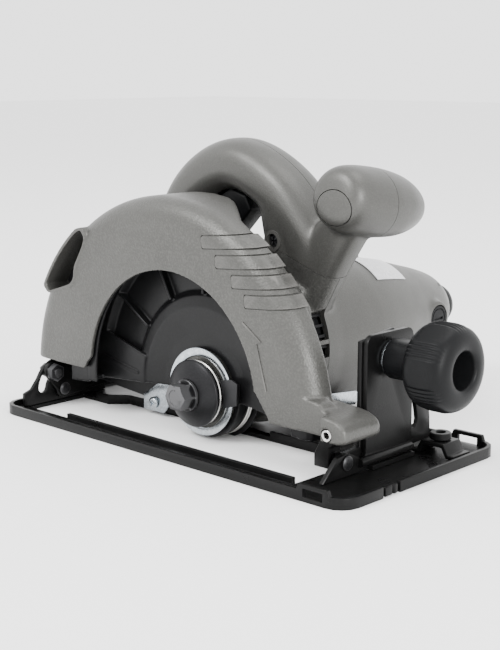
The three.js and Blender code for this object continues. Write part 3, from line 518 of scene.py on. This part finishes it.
# Rim of the chip chute on the guard's face, X and Z.
CHUTE_FACE = [(-90.7, 118.1), (-87.2, 113), (-89.2, 107.3), (-96.9, 93.1), (-98.8, 83.6), (-102.8, 80),
              (-125.3, 73.7)]
BANDS = ((12.3, 115.1), (23.0, 105.2), (35.2, 95.6), (44.8, 85.9))     # lower left corners, X and Z
BAND_HIGH = 6.6
BAND_RISE = 4.5                                                        # degrees


def chute_outline(inset):
    """The chute's outline, bounded by the guard's own round edge at the back."""
    middle = Vector((-109, 94))
    face = [tuple(Vector(p) + (middle - Vector(p)).normalized() * inset) for p in CHUTE_FACE]
    lean = 0.5 * inset
    back = arc(GUARD_C, GUARD_R - inset, 151.5 - lean, 127 + lean, 12)
    return rounded(face + back, 2.2)


def band_block(x, z, grow):
    outline = rounded([(-grow, -grow), (80, -grow), (80, BAND_HIGH + grow), (-grow, BAND_HIGH + grow)], 1.6)
    block = prism("y", outline, -60, 10)
    return turn(block, "Y", -BAND_RISE, (x, 0, z))


def guard_bands(guard):
    """Four raised bands that wrap round the front of the guard, each in a fine groove."""
    for x, z in BANDS:
        groove = common(cut(guard_solid(-1.5, HOOD_Y), guard_solid(0.6, HOOD_Y + 1)), band_block(x, z, 0.7),
                        guard_plan())
        guard = cut(guard, groove)
        band = common(cut(guard_solid(-0.55, HOOD_Y), guard_solid(1.4, HOOD_Y + 1)), band_block(x, z, 0),
                      guard_plan())
        guard = join(guard, band)
    return guard


def rotation_arrow():
    """Outline of half an arrow that shows which way the blade turns."""
    line = [(43.3, 77.4), (55.9, 68.8), (52.9, 67.8), (60.3, 42.6)]
    half = 0.5
    strokes = []
    for a, b in zip(line, line[1:]):
        along = (Vector(b) - Vector(a)).normalized()
        side = Vector((-along.y, along.x)) * half
        a, b = Vector(a) - along * half, Vector(b) + along * half
        strokes.append(prism("y", [tuple(a + side), tuple(b + side), tuple(b - side), tuple(a - side)],
                             FACE_Y - 0.4, FACE_Y + 1))
    return join(*strokes)


def guard_casting():
    shell = common(guard_solid(0, HOOD_Y), guard_plan())
    foot = [(61, 26), (86, 21.5), (100, 21.5), (104, 30), (97, 42), (88, 43), (80, 41), (66, 44)]
    foot = prism("y", rounded(foot, 3), FACE_Y + 0.4, -27)
    lug_end = [(103.6, 19.2), (120.6, 25.9), (120.2, 32), (117.5, 35), (112, 37.2), (102.5, 38.4)]
    lug = join(prism("y", rounded(lug_end, 2), -46, -15.5),
               prism("y", rounded([(84, 24)] + lug_end + [(96, 38.6), (86, 40)], 2), FACE_Y + 0.4, -15.5))
    shell = soften(join(shell, foot, lug), 0.9, 26)
    shell = join(shell, prism("y", chute_outline(0), FACE_Y - 0.9, -12))
    room = turned("y", GUARD_C, [
        (0, FACE_Y + GUARD_WALL), (106.8, -36.9), (109, -36.6), (111.8, -35.6), (114, -33.8), (115.6, -31.6),
        (116.5, -28.8), (116.8, -25.8), (116.8, 40), (0, 40)], GUARD_SEGMENTS)
    pocket = prism("y", chute_outline(0.3), FACE_Y - 0.5, -20)
    nose = common(copy_of(shell), box(70, 140, -60, 0, 0, 62))
    nose = cut(nose, rod("y", SPIN_C, LOWER_R + 0.9, FACE_Y + 1, 10, 160))
    shell = join(cut(shell, room), pocket, nose)
    shell = cut(shell, prism("y", chute_outline(2.2), FACE_Y - 4, -22))
    web_plan = arc(GUARD_C, WEB_R, 37, 77, 30) + arc(GUARD_C, GUARD_R - 1, 82, 172,
                                                     60) + [(-142, 33), (-48, 29)]
    web_plan += arc(SPIN_C, 30, 180, 352, 24) + arc(SPIN_C, 74, -4, 30, 12)
    web = prism("y", web_plan, WEB_Y, HOOD_Y)
    corner = arc((-98.5, 37.5), 9, -92, -20, 12)
    mouth = join(rod("y", MOUTH_C, MOUTH_R, -60, -30, 160),
                 prism("y", [(-99, 10), (68, 10), (61, 28), (52, 40), (-84.5, 40)] + corner[::-1], -60, -30))
    low_edge = [(-160, -160), (200, -160), (200, 24.9), (60, 24.9), (-60, 30.5), (-160, 31)]
    below = prism("y", low_edge, -80, 40)
    shell = cut(join(shell, web), mouth, below)
    shell = join(shell, rod("y", SPIN_C, 25, WEB_Y, HOOD_Y, 96), rod("y", SPIN_C, 24, -23.4, -4, 96))
    tongue_y0, tongue_y1 = (frame_box("pivot_tongue")[k].y for k in (0, 1))
    slot_y = (tongue_y0 - 0.5, tongue_y1 + 0.5)
    shell = cut(shell, rod("y", SWING_C, 8.1, *slot_y),
                prism("y", [(80, 0), (125, 0), (125, 21), (115, 26), (100, 34), (92, 36), (80, 36)], *slot_y),
                rod("y", SWING_C, 3.6, -50, -10), rod("y", SPIN_C, 16.2, -60, 10, 96))
    shell = soften(shell, 0.7, 3)
    return join(guard_bands(shell), rotation_arrow())


# ------------------------------------------------------------------ lower guard
def folding_guard():
    near, far, deep, skin = -36.0, -22.0, -17.0, 1.5
    r = LOWER_R
    channel = turned("y", SPIN_C, [
        (80, near), (r - 7.2, near), (r - 4.2, near + 1.2), (r - 1.7, near + 3.7), (r - 0.5, near + 7),
        (r, near + 11), (r, far), (89, far), (86, deep), (58, deep), (54, -19.2), (50, -19.2), (36, -17.5),
        (27.6, -17), (27.6, -13.5), (24.4, -13.5), (24.4, -21), (34, -21), (49, -22.2), (55.5, -21),
        (59, deep - skin), (85, deep - skin), (87.6, far - skin), (r - skin, far - skin),
        (r - skin, near + 7), (r - 3.6, near + 4.6), (r - 8, near + skin), (80, near + skin)], 240)
    keep = join(prism("y", [SPIN_C] + arc(SPIN_C, 150, -6, 184, 40), -50, 0),
                rod("y", SPIN_C, 27.65, -50, 0, 96))
    guard = common(channel, keep)
    for degrees in (118, 146, 62, 90, 34):
        rib = turn(box(57, 88, -23, deep - 0.4, -0.9, 0.9), "Y", -degrees, (SPIN.x, 0, SPIN.z))
        guard = join(guard, rib)
    floor = prism("y", sector(SPIN_C, 50, 92, 164, 184, 12), far - skin, far + 0.6)
    nose = prism("y", sector(SPIN_C, 88, 104, 176, 184.5, 10), near, far)
    hollow = prism("y", sector(SPIN_C, 80, 101.5, 170, 182.8, 8), near + skin, far - skin)
    groove = prism("y", rounded([(-96, 36), (-92, 37.5), (-60, 31.5), (-59, 29.5), (-62, 29)], 0.8), far - 5,
                   far - 0.9)
    return soften(cut(join(guard, floor, nose), hollow, groove), 0.55, 3)


# ------------------------------------------------------------------ motor housing and handle
LOOP = ((42, 101), (38, 112), (13.2, 141.2), (-22.3, 156), (-54, 142.2), (-72.4, 112.4), (-70, 80), (-46, 60))
NECK = ((30, 72), (38, 87), (47, 103), (57, 119), (70, 138))
GRIP = (74.1, 27, 140.1)     # middle of the egg-shaped front grip
GRIP_LEAN = -9.75            # its axis against Y, in degrees
GRIP_CAP = (75.2, 139)
FOOT = ((75, 117), (68.5, 111), (66, 103), (62.5, 97.4), (58.5, 96.4), (44, 102.8), (28, 108), (12, 112))
NECK_Y = 24.5
HANDLE_SCREW = (18.2, 114.7)
TRIGGER_WAY = Vector((-1, 0, 1)).normalized()
CASE_Y0 = HOOD_Y + SEAM


def motor_outline(inset=0.0):
    """Half-width of the motor housing along its length."""
    steps = [(0, 78), (1.5, 95), (5.5, 118), (11, 140), (15.5, 158), (20, 172), (25, 181), (29, BODY_Y1)]
    points = curve_points([(BODY_R - narrower, y, 0) for narrower, y in steps], 6)
    return [(p.x - inset, p.y) for p in points]


def grip_egg(inset=0.0):
    outline = [(0, -30.5), (4.5, -30.45), (8.8, -30.2), (12.5, -29.3), (15.4, -27.1), (17.6, -22.4),
               (18.8, -13.1), (19.3, 0), (19, 10), (17.7, 21), (14.9, 31), (10.7, 39.7), (5.6, 44.7),
               (0, 46.5)]
    points = [(max(p.x - inset, 0), p.y * (1 - inset / 40)) for p in
              curve_points([(r, y, 0) for r, y in outline], 5)]
    points[0] = (0, points[0][1])
    points[-1] = (0, points[-1][1])
    egg = turned("y", (0, 0), points, 96)
    egg.data.transform(Matrix.Diagonal((1.04, 1, 1, 1)))
    return turn(egg, "X", GRIP_LEAN, GRIP)


def loop_depth(along):
    """The rear handle's thickness in its own plane, fuller where it leaves the motor housing."""
    return LOOP_THICK + 9 * max(0, 1 - along / 0.2)


def housing_form():
    """Gear housing, motor housing and handle as one flowing shape, which the joint lines then divide."""
    body = turned("y", MOTOR_C, [(0, CASE_Y0), (46, CASE_Y0), (45.9, CASE_Y1), (45.4, CASE_Y1 + 6),
                                 (BODY_R, CASE_Y1 + 15)] + motor_outline() + [(0, BODY_Y1)], 160)
    case = prism("y", arc(SPIN_C, 25, 168, 372, 40) + arc(MOTOR_C, 46, -26, 206, 70), CASE_Y0, CASE_Y1)
    arm = prism("y", [(-25, 24)] + arc(LOCK_C, 9, 270, 90, 16) + [(-25, 56)], 8.35, 16)
    nose = prism("y", rounded([(20, 22), (33, 22), (40, 27), (40, 37), (30, 44), (20, 44)], 3), CASE_Y0, 11)
    pedestal = bar(((19, 68), (25, 84), (32, 98), (38, 112)), 27, 31, lambda along: 44 - 6 * along)
    shoulder = bar(((17, 66), (23, 82), (28, 95)), 21, 38, lambda along: 44 - 4 * along)
    boss = rod("x", BRUSH_C, 11.5, MOTOR.x - BRUSH_REACH, MOTOR.x + BRUSH_REACH, 64)
    root = bar(((14.5, 137), (17.5, 122), (21.5, 108), (29, 96)), PART_Y - 1, 35, 28)
    form = join(body, case, arm, nose, pedestal, shoulder, root, bar(LOOP, PART_Y, LOOP_WIDE, loop_depth),
                bar(NECK, NECK_Y, NECK_WIDE, NECK_WIDE), grip_egg(), boss)
    form = soften(form, 1.1, 26)
    return cut(form, box(-150, 150, -30, CASE_Y0, -20, 112))


def cap_plug(grow):
    turns = [math.radians(5 * k) for k in range(72)]
    oval = [(GRIP_CAP[0] + (11.4 + grow) * math.cos(a),
             GRIP_CAP[1] + (9.5 + grow) * math.sin(a)) for a in turns]
    return prism("y", oval, -12, 1 + grow)


def handle_side():
    """Everything on the handle's side of the joint with the motor housing."""
    sweep = arc(MOTOR_C, 46.4, 132, 196, 20)
    outline = [(-110, 30), (-110, 190), (110, 190), (110, 116)] + list(FOOT)
    return outline + [(9, 99), (2, 99.6), (-22, 94.8)] + sweep + [(-60, 30)]


def handle_hollow():
    """Room inside the handle for the switch and the wires."""
    wall = HANDLE_WALL
    neck = NECK_WIDE - 2 * wall
    room = join(bar(LOOP, PART_Y, LOOP_WIDE - 2 * wall, LOOP_THICK - 2 * wall, 6, 20),
                bar(NECK, NECK_Y, neck, neck, 6, 20), grip_egg(wall))
    return cut(room, box(-200, 200, -60, 12, 0, 300))


def trigger_outline(grow=0.0):
    points = [(-9, 129.5), (-33, 105), (-37, 104), (-41, 107), (-46, 120), (-40, 134), (-26, 142), (-13, 138)]
    middle = Vector((-28, 124))
    return [tuple(middle + (Vector(p) - middle) * (1 + grow / (Vector(p) - middle).length)) for p in points]


def open_gear_case(case):
    """Gear and bearing rooms inside the gear housing, and the windows that the fan's air leaves by."""
    case = cut(case, rod("y", SPIN_C, 23.2, 0, 15, 128), rod("y", MOTOR_C, 8, 0, 17),
               rod("y", SPIN_C, 11.3, 0, 22.4), rod("y", MOTOR_C, 13.3, 15.6, 40),
               tube("y", MOTOR_C, 17, 42, 19, 40))
    for start, end in ((9, 30), (-4, 6)):
        case = cut(case, prism("y", rounded(sector(MOTOR_C, 41.5, 60, start, end, 10), 0.8), 9, CASE_Y1 + 1))
    case = cut(case, rod("y", LOCK_C, 3.4, 0, 30), box(18, 50, 4.2, 7.4, 28.2, 34.2))
    return case


def open_motor_case(case):
    """Room for the motor, the brush caps' holes and the air inlets."""
    y0 = CASE_Y1
    inner = [(0, y0 - 1), (42.3, y0 - 1),
             (41.4, y0 + 15)] + [(r, y) for r, y in motor_outline(3.2) if y < 172]
    case = cut(case, turned("y", MOTOR_C, inner + [(12, 182), (12, BODY_Y1 + 1), (0, BODY_Y1 + 1)], 96))
    seat = tube("y", MOTOR_C, 11.3, 14, 160, 173)
    webs = [turn(box(13, 26, 162, 170, -1.2, 1.2), "Y", angle, (MOTOR.x, 0, MOTOR.z))
            for angle in (45, 135, 225, 315)]
    case = join(case, seat, *webs)
    case = cut(case, rod("x", BRUSH_C, 9, MOTOR.x - 60, MOTOR.x + 60, 64))
    for angle in (220, 240, 260, 280, 300):
        slot = prism("z", rounded([(20, 134), (50, 134), (50, 164), (20, 164)], 1.4), -1.6, 1.6)
        case = cut(case, turn(slot, "Y", -angle, (MOTOR.x, 0, MOTOR.z)))
    return case


def split_housing():
    """The gear case, the motor housing, the two handle halves and the cap in the end of the grip."""
    form = housing_form()
    handle = common(copy_of(form), prism("y", handle_side(), -20, 120))
    seam = prism("y", handle_side(), -20, 120)
    grow = seam.modifiers.new("grow", "DISPLACE")
    grow.strength = SEAM
    grow.mid_level = 0
    form = cut(form, settle(seam))
    case = open_gear_case(common(copy_of(form), box(-150, 150, -20, CASE_Y1, -20, 250)))
    motor = open_motor_case(common(form, box(-150, 150, CASE_Y1 + SEAM, 250, -20, 250)))
    # The cap lies flush in the grip's near end, inside a fine oval groove.
    cap = common(copy_of(handle), cap_plug(0))
    handle = cut(handle, cap_plug(0.5), handle_hollow())
    reach = Vector((TRIGGER_WAY.x, TRIGGER_WAY.z)) * 6.5
    for step in (0, 0.5, 1):
        outline = [(x + reach.x * step, z + reach.y * step) for x, z in trigger_outline(1)]
        handle = cut(handle, prism("y", outline, PART_Y - 9, PART_Y + 9))
    low, high = frame_box("lock_off_button")
    button = ((low.x + high.x) / 2, (low.z + high.z) / 2)
    handle = cut(handle, rod("y", button, 5.6, PART_Y + 5, 70), rod("x", (PART_Y, 72), 9.5, -100, -60))
    near = common(copy_of(handle), box(-150, 150, -60, PART_Y - SEAM / 2, 0, 200))
    far = common(handle, box(-150, 150, PART_Y + SEAM / 2, 150, 0, 200))
    return case, motor, near, far, cap


# ------------------------------------------------------------------ handing shapes over
FINISHES = {
    "guard_paint": CAST_PAINT, "body_paint": BODY_PAINT, "black_steel": BLACK_COAT,
    "black_plastic": BLACK_PLASTIC, "guard_black": GUARD_BLACK, "steel": BRIGHT_STEEL,
    "oiled_steel": DARK_STEEL, "zinc": ZINC_PLATE, "copper": COPPER_WIRE, "carbon": CARBON,
    "label": LABEL_FILM,
}
SLOTS = {part["node"]: part["material_slot"] for part in frame["record"]["subparts"]}


def stand_for(obj, node, sharp=35):
    """Shows a finished shape in place of a CAD node, with that node's body and finish."""
    body = body_of(frame["nodes"][node])[0]
    slot = SLOTS[node]
    return finish_piece(obj, node + "_finished", body, FINISHES[slot], (node,), sharp)


def add_detail(obj, name, beside, slot):
    """Adds a small piece that no CAD node stands for, on the same body as a node beside it."""
    body = body_of(frame["nodes"][beside])[0]
    return finish_piece(obj, name, body, FINISHES[slot])


# ------------------------------------------------------------------ base
def base_plate():
    """The pressed sole. Easing folds its face at Y 1.4 over the gap in the window's lip: a known fault."""
    plate = from_node("base_plate")
    stand_for(ease(plate, 0.45, 3), "base_plate")


def sheet_parts():
    for node, width in (("front_bracket", 0.5), ("rear_bevel_plate", 0.5), ("fence_bridge", 0.5),
                        ("sight_pointer", 0.4), ("bevel_quadrant", 0.5), ("pivot_tongue", 0.8),
                        ("rear_angle_plate", 0.5), ("depth_guide", 0.5), ("guard_stop_tab", 0.35),
                        ("shaft_lock", 0.5), ("spring_bracket", 0.4), ("depth_lever", 0.9)):
        stand_for(ease(from_node(node), width, 3), node)


def rivet(node):
    low, high = frame_box(node)
    r = (high.y - low.y) / 2
    head = 1.6
    profile = [(0, low.x), (r * 0.55, low.x + 0.05), (r * 0.85, low.x + 0.5), (r, low.x + head * 0.7),
               (r, low.x + head), (r * 0.7, low.x + head), (r * 0.7, high.x - head), (r, high.x - head),
               (r, high.x - head * 0.7), (r * 0.85, high.x - 0.5), (r * 0.55, high.x - 0.05), (0, high.x)]
    stand_for(turned("x", TILT_C, profile, 48), node)


def bevel_hardware():
    rivet("front_pivot_rivet")
    rivet("rear_pivot_rivet")
    low, high = frame_box("bevel_bolt")
    neck = low.x + 4.3
    bolt = turned("x", KNOB_C, [(0, low.x), (4.6, low.x), (6, low.x + 0.6), (7.2, low.x + 1.8),
                                (7.5, low.x + 2.8), (7.5, neck - 0.2), (7.3, neck), (3.9, neck),
                                (3.9, high.x - 1), (2.9, high.x), (0, high.x)], 64)
    stand_for(bolt, "bevel_bolt")
    low, high = frame_box("bevel_washer")
    stand_for(ease(tube("x", KNOB_C, 4.3, 9.5, low.x, high.x, 64), 0.25), "bevel_washer")
    low, high = frame_box("fence_collar")
    centre = ((low.x + high.x) / 2, (low.y + high.y) / 2)
    collar = turned("z", centre, [(2.6, low.z), (3, low.z), (3, low.z + 1.95), (5.6, low.z + 1.95),
                                  (6, low.z + 2.4), (6, high.z - 0.5), (5.5, high.z), (3.1, high.z),
                                  (2.6, high.z - 0.5)], 64)
    stand_for(collar, "fence_collar")
    stand_for(ease(from_node("rear_bevel_bolt"), 0.3), "rear_bevel_bolt")
    low, high = frame_box("depth_pivot_pin")
    pin = turned("y", SWING_C, [(1.8, low.y + 0.3), (2.1, low.y), (2.9, low.y), (3.2, low.y + 0.3),
                                (3.2, high.y - 0.3), (2.9, high.y), (2.1, high.y), (1.8, high.y - 0.3)], 64)
    stand_for(pin, "depth_pivot_pin")
    low, high = frame_box("depth_bolt")
    shoulder = frame_box("depth_guide")[0].y - SEAM
    bolt = turned("y", LOCK_C, [(0, low.y), (5.4, low.y), (6.2, low.y + 0.7), (6.2, shoulder), (3, shoulder),
                                (3, high.y - 0.6), (2.5, high.y), (0, high.y)], 64)
    stand_for(bolt, "depth_bolt")


def knob_radius(radius, along, degrees):
    """The knob's rim has six flats, with a group of finger ribs between each two."""
    if radius < 20.5 or along < 129 or along > 153:
        return radius
    turned_by = (degrees + 30) % 60 - 30
    flat = 22.4 / math.cos(math.radians(turned_by))
    fade = min(1.0, (along - 129) / 4, (153 - along) / 4)
    rim = min(radius, flat) if abs(turned_by) < 22 else radius
    rib = 0
    beside = abs(abs(turned_by) - 30)
    if beside < 12:
        rib = -0.75 * fade * (0.5 - 0.5 * math.cos(math.radians(360 * beside / 6)))
    return rim + rib


def bevel_knob():
    low, high = frame_box("bevel_knob")
    x0, x1 = low.x, high.x
    profile = [(4.3, x0 + 0.4), (4.7, x0), (10.2, x0), (10.8, x0 + 0.5), (11, x0 + 1.2), (11, x0 + 17.5),
               (11.6, x0 + 18.7), (13, x0 + 19.2), (17.6, x0 + 19.6), (20, x0 + 20.4), (21.6, x0 + 22),
               (22.7, x0 + 24), (23.3, x0 + 26), (23.6, x0 + 28.5), (23.6, x0 + 32), (23.55, x0 + 35),
               (23.4, x0 + 37), (23, x0 + 39), (22.2, x0 + 41), (21, x0 + 42.8), (19.2, x0 + 44.2),
               (16.8, x0 + 45.2), (14, x1), (12, x1 - 0.1), (10.9, x1 - 0.5), (10.3, x1 - 1.2),
               (10, x1 - 2.2), (10, x0 + 31.6), (9.5, x0 + 31), (4.8, x0 + 30.9), (4.3, x0 + 30.5)]
    knob = turned("x", KNOB_C, profile, 360, knob_radius)
    stand_for(knob, "bevel_knob", sharp=50)


# ------------------------------------------------------------------ blade clamp and guard fittings
def hexagon(centre, flats, low, high):
    """A hexagon head with its corners turned down on the near side."""
    head = turned("y", centre, [(0, low), (flats / math.sqrt(3), low), (flats / math.sqrt(3), high),
                                (0, high)], 6)
    r = flats / 2
    cone = turned("y", centre, [(0, low), (r - 0.3, low), (r + 1.6, low + HEAD_CHAMFER), (r + 1.6, high),
                                (0, high)], 96)
    return common(head, cone)


def blade_clamp():
    low, high = frame_box("outer_flange")
    y0, y1 = low.y, high.y
    flange = turned("y", SPIN_C, [
        (4.6, y1), (19.4, y1), (19.8, y1 - 0.4), (19.8, y1 - 1.2), (19.5, y1 - 1.7), (18.6, y1 - 2.4),
        (15.5, y1 - 3.6), (12, y0 + 0.4), (9.6, y0 + 0.05), (9.4, y0), (9.2, y0 + 0.3), (4.6, y0 + 0.3)], 160)
    stand_for(flange, "outer_flange")
    low, high = frame_box("blade_bolt")
    head_y, washer_y = low.y, -37.3
    bolt = join(hexagon(SPIN_C, 14, head_y, washer_y + 0.4), rod("y", SPIN_C, 3.65, -40, high.y))
    dimple = turned("y", SPIN_C, [(0, head_y - 1), (5, head_y - 1), (4.5, head_y + 0.35), (0, head_y + 0.5)],
                    64)
    bolt = cut(bolt, dimple)
    washer = turned("y", SPIN_C, [(1, washer_y), (8.8, washer_y), (9.2, washer_y + 0.3), (9.2, -35.5),
                                  (8.9, -35.25), (1, -35.25)], 96)
    bolt = join(ease(bolt, 0.15), washer)
    stand_for(bolt, "blade_bolt")
    low, high = frame_box("inner_flange")
    seat = -27.4
    inner = turned("y", SPIN_C, [(6.3, low.y), (7.7, low.y), (7.95, low.y + 0.3), (7.95, seat), (18.6, seat),
                                 (19, seat + 0.4), (19, high.y), (6.3, high.y)], 128)
    stand_for(inner, "inner_flange")
    low, high = frame_box("retaining_ring")
    ring = tube("y", SPIN_C, 21.2, 25.8, low.y, high.y, 128)
    stand_for(ease(ring, 0.2), "retaining_ring")


def return_spring():
    """Coil spring of the lower guard: two turns of wire."""
    low, high = frame_box("guard_spring")
    wire = 0.9
    radius = (high.x - low.x) / 2 - wire
    points = []
    for step in range(146):
        degrees = 215 + 5 * step
        a, b = at(SPIN_C, radius, degrees)
        points.append(Vector((a, low.y + wire + (high.y - low.y - 2 * wire) * step / 145, b)))
    bm = bmesh.new()
    rings = []
    for i, point in enumerate(points):
        ahead = (points[min(i + 1, len(points) - 1)] - points[max(i - 1, 0)]).normalized()
        side = ahead.cross(Vector((0, 1, 0))).normalized()
        up = side.cross(ahead)
        ring = []
        for k in range(12):
            angle = k * math.pi / 6
            ring.append(bm.verts.new(point + wire * (side * math.cos(angle) + up * math.sin(angle))))
        rings.append(ring)
    for one, two in zip(rings, rings[1:]):
        for k in range(12):
            n = (k + 1) % 12
            bm.faces.new((one[k], one[n], two[n], two[k]))
    bm.faces.new(rings[0])
    bm.faces.new(rings[-1])
    stand_for(as_object(bm), "guard_spring")


def bracket_screw():
    low, high = frame_box("bracket_screw")
    centre = ((low.x + high.x) / 2, (low.z + high.z) / 2)
    r = (high.x - low.x) / 2
    profile = [(0, low.y), (r * 0.6, low.y + 0.1), (r * 0.9, low.y + 0.6), (r, low.y + 1.1), (r, high.y),
               (0, high.y)]
    head = turned("y", centre, profile, 64)
    recess = join(box(-0.45, 0.45, -1, 1, -2, 2), box(-2, 2, -1, 1, -0.45, 0.45))
    turn(recess, "Y", 20, (centre[0], low.y + 0.2, centre[1]))
    stand_for(cut(head, recess), "bracket_screw")


# ------------------------------------------------------------------ guards and housings
def upper_guard():
    stand_for(guard_casting(), "upper_guard", sharp=42)


def lower_guard():
    stand_for(folding_guard(), "lower_guard", sharp=42)


def body_and_handle():
    case, motor, near, far, cap = split_housing()
    near = cut(join(near, rod("y", HANDLE_SCREW, 6.2, 11, 17)), rod("y", HANDLE_SCREW, 4.2, 5, 15))
    # The lock arm is cut off the gear case and given the black steel finish as painted shade: it lies in
    # shade below the folding guard.
    arm_space = (-120, -26, 2, 18, 5, 62)
    add_detail(common(copy_of(case), box(*arm_space)), "lock_arm_painted_shade", "gear_housing", "black_steel")
    case = cut(case, box(*arm_space))
    stand_for(case, "gear_housing")
    stand_for(motor, "motor_housing")
    stand_for(near, "handle_near_half")
    stand_for(far, "handle_far_half")
    stand_for(cap, "grip_cap")
    # Black ring with ribs at the bottom of the gear housing's outlet windows: painted shade, darkening the
    # windows where shade falls.
    ring = tube("y", MOTOR_C, 36, 41, 10, CASE_Y1 - 0.4, 96)
    for degrees in range(-20, 60, 8):
        rib = turn(box(40.5, 44.2, 10, CASE_Y1 - 0.4, -0.8, 0.8), "Y", -degrees, (MOTOR.x, 0, MOTOR.z))
        ring = join(ring, rib)
    add_detail(common(ring, prism("y", [MOTOR_C] + arc(MOTOR_C, 80, -14, 48, 8), 0, 40)), "outlet_painted_shade",
               "gear_housing", "black_plastic")


def chute_painted_shade():
    """Black plate at the bottom of the chip chute: painted shade, darkening the deep pocket where shade
    falls.
    """
    liner = prism("y", chute_outline(2.6), *CHUTE_FLOOR_Y)
    add_detail(liner, "chute_painted_shade", "upper_guard", "guard_black")


def web_painted_shade():
    """Black plate on the guard's web, behind the folding guard: painted shade for the shade that falls there.

    Round the spindle it reaches 1.7 mm below Z 0, which is a known fault.
    """
    outline = arc(GUARD_C, 101, 38, 77, 30) + arc(GUARD_C, GUARD_R - 3, 82, 171, 60)
    outline += [(-139, 30), (-118, 28), (-115, 14), (-60, 9.5), (-38, 10)]
    outline += arc(SPIN_C, 30, 205, 352, 24) + arc(SPIN_C, 73, -3, 30, 12)
    liner = cut(prism("y", outline, *WEB_SHADE_Y), rod("y", SPIN_C, 25.5, -10, 0, 96))
    add_detail(ease(liner, 0.2), "web_painted_shade", "upper_guard", "guard_black")


# ------------------------------------------------------------------ small fittings
def motor_fittings():
    low, high = frame_box("vent_cap")
    cap = turned("y", MOTOR_C, [(0, low.y), (11.5, low.y), (11.5, low.y + 4), (15, low.y + 4),
                                (14.6, low.y + 8), (13.2, low.y + 11.5), (10.6, low.y + 14.3),
                                (7, low.y + 16.2), (3, high.y - 0.1), (0, high.y)], 96)
    for k in (-1, 0, 1):
        slot = prism("y", rounded([(-8, -1.1), (8, -1.1), (8, 1.1), (-8, 1.1)], 1), low.y + 3, high.y + 2)
        cap = cut(cap, turn(slot, "Y", 0, (MOTOR.x, 0, MOTOR.z + 5 * k)))
    stand_for(ease(cap, 0.25), "vent_cap")
    for node, side in (("brush_cap_front", 1), ("brush_cap_rear", -1)):
        low, high = frame_box(node)
        outer = (high.x - MOTOR.x) if side > 0 else (MOTOR.x - low.x)
        inner = (low.x - MOTOR.x) if side > 0 else (MOTOR.x - high.x)
        profile = [(0, inner), (8.6, inner), (8.6, outer - 0.7), (8.3, outer - 0.2), (7.8, outer),
                   (6.9, outer - 0.1), (6.6, outer - 0.6), (6.2, outer - 0.6), (5.9, outer - 0.1), (0, outer)]
        cap = turned("x", (0, 0), profile, 96)
        cap = cut(cap, box(outer - 1, outer + 1, -4.6, 4.6, -0.8, 0.8))
        cap.data.transform(Matrix.Rotation(math.radians(0 if side > 0 else 180), 4, "Z"))
        cap.data.transform(Matrix.Translation((MOTOR.x, (low.y + high.y) / 2, (low.z + high.z) / 2)))
        stand_for(cap, node)


def rating_label():
    low, high = frame_box("rating_label")
    band = cut(turned("y", MOTOR_C, [(0, 78)] + motor_outline(-0.55) + [(0, BODY_Y1)], 256),
               turned("y", MOTOR_C, [(0, 77)] + motor_outline(-0.12) + [(0, BODY_Y1 + 1)], 256))
    patch = prism("y", sector(MOTOR_C, 30, 60, 47, 81, 12), low.y, high.y)
    label = common(band, patch)
    stand_for(label, "rating_label")


def hand_controls():
    for node, width in (("trigger", 1.6), ("lock_off_button", 0.6), ("cord_gland", 0.5)):
        stand_for(ease(from_node(node), width, 4), node)
    x, z = HANDLE_SCREW
    head = turned("y", HANDLE_SCREW, [(0, 12.4), (2.6, 12.5), (3.6, 13), (3.9, 13.8), (3.9, 15.4), (0, 15.4)],
                  48)
    head = cut(head, box(x - 0.5, x + 0.5, 12, 13.2, z - 2.3, z + 2.3),
               box(x - 2.3, x + 2.3, 12, 13.2, z - 0.5, z + 0.5))
    add_detail(head, "handle_screw", "handle_near_half", "oiled_steel")


def inner_parts():
    """Every CAD mesh gets its slot's full finish; it shows on the nodes that nothing replaces."""
    for node, obj in frame["nodes"].items():
        material = FINISHES[SLOTS[node]]
        for slot in obj.material_slots:
            slot.material = material


# ------------------------------------------------------------------ stage, light and camera
def set_stage():
    mat, _, shader = node_material("backdrop")
    shader.inputs["Base Color"].default_value = (0.9, 0.9, 0.9, 1)
    shader.inputs["Roughness"].default_value = 0.9
    shader.inputs["Specular IOR Level"].default_value = 0.1
    bm = bmesh.new()
    corners = [bm.verts.new(Vector((x, y, 0))) for x, y in ((-6, -6), (6, -6), (6, 6), (-6, 6))]
    bm.faces.new(corners)
    floor = as_object(bm, "floor")
    floor.data.materials.append(mat)
    world = bpy.data.worlds.new("studio")
    world.use_nodes = True
    world.node_tree.nodes["Background"].inputs["Color"].default_value = (1, 1, 1, 1)
    world.node_tree.nodes["Background"].inputs["Strength"].default_value = 2.5
    bpy.context.scene.world = world


def add_light(name, place, aim, size, power):
    data = bpy.data.lights.new(name, "AREA")
    data.shape = "DISK"
    data.size = size
    data.energy = power
    lamp = bpy.data.objects.new(name, data)
    lamp.location = place
    lamp.rotation_euler = (Vector(aim) - Vector(place)).to_track_quat("-Z", "Y").to_euler()
    bpy.context.scene.collection.objects.link(lamp)


def set_lights():
    aim = (0, 0, 0.07)
    add_light("key", (-0.35, -1.1, 1.2), aim, 0.7, 24)
    add_light("top", (0.3, 0.3, 1.5), aim, 1.0, 8)
    add_light("front", (1.5, -0.4, 0.5), aim, 0.6, 22)


def set_camera():
    data = bpy.data.cameras.new("view")
    data.lens = 72.08
    data.sensor_width = 36
    camera = bpy.data.objects.new("view", data)
    place = Vector((0.5187, -0.5364, 0.21375))
    way = Vector((-0.67387, 0.71239, -0.19593))
    camera.location = place
    camera.rotation_euler = way.to_track_quat("-Z", "Y").to_euler()
    bpy.context.scene.collection.objects.link(camera)
    bpy.context.scene.camera = camera


base_plate()
sheet_parts()
bevel_hardware()
bevel_knob()
blade_clamp()
return_spring()
bracket_screw()
upper_guard()
lower_guard()
body_and_handle()
chute_painted_shade()
web_painted_shade()
motor_fittings()
rating_label()
hand_controls()
inner_parts()
set_stage()
set_lights()
set_camera()
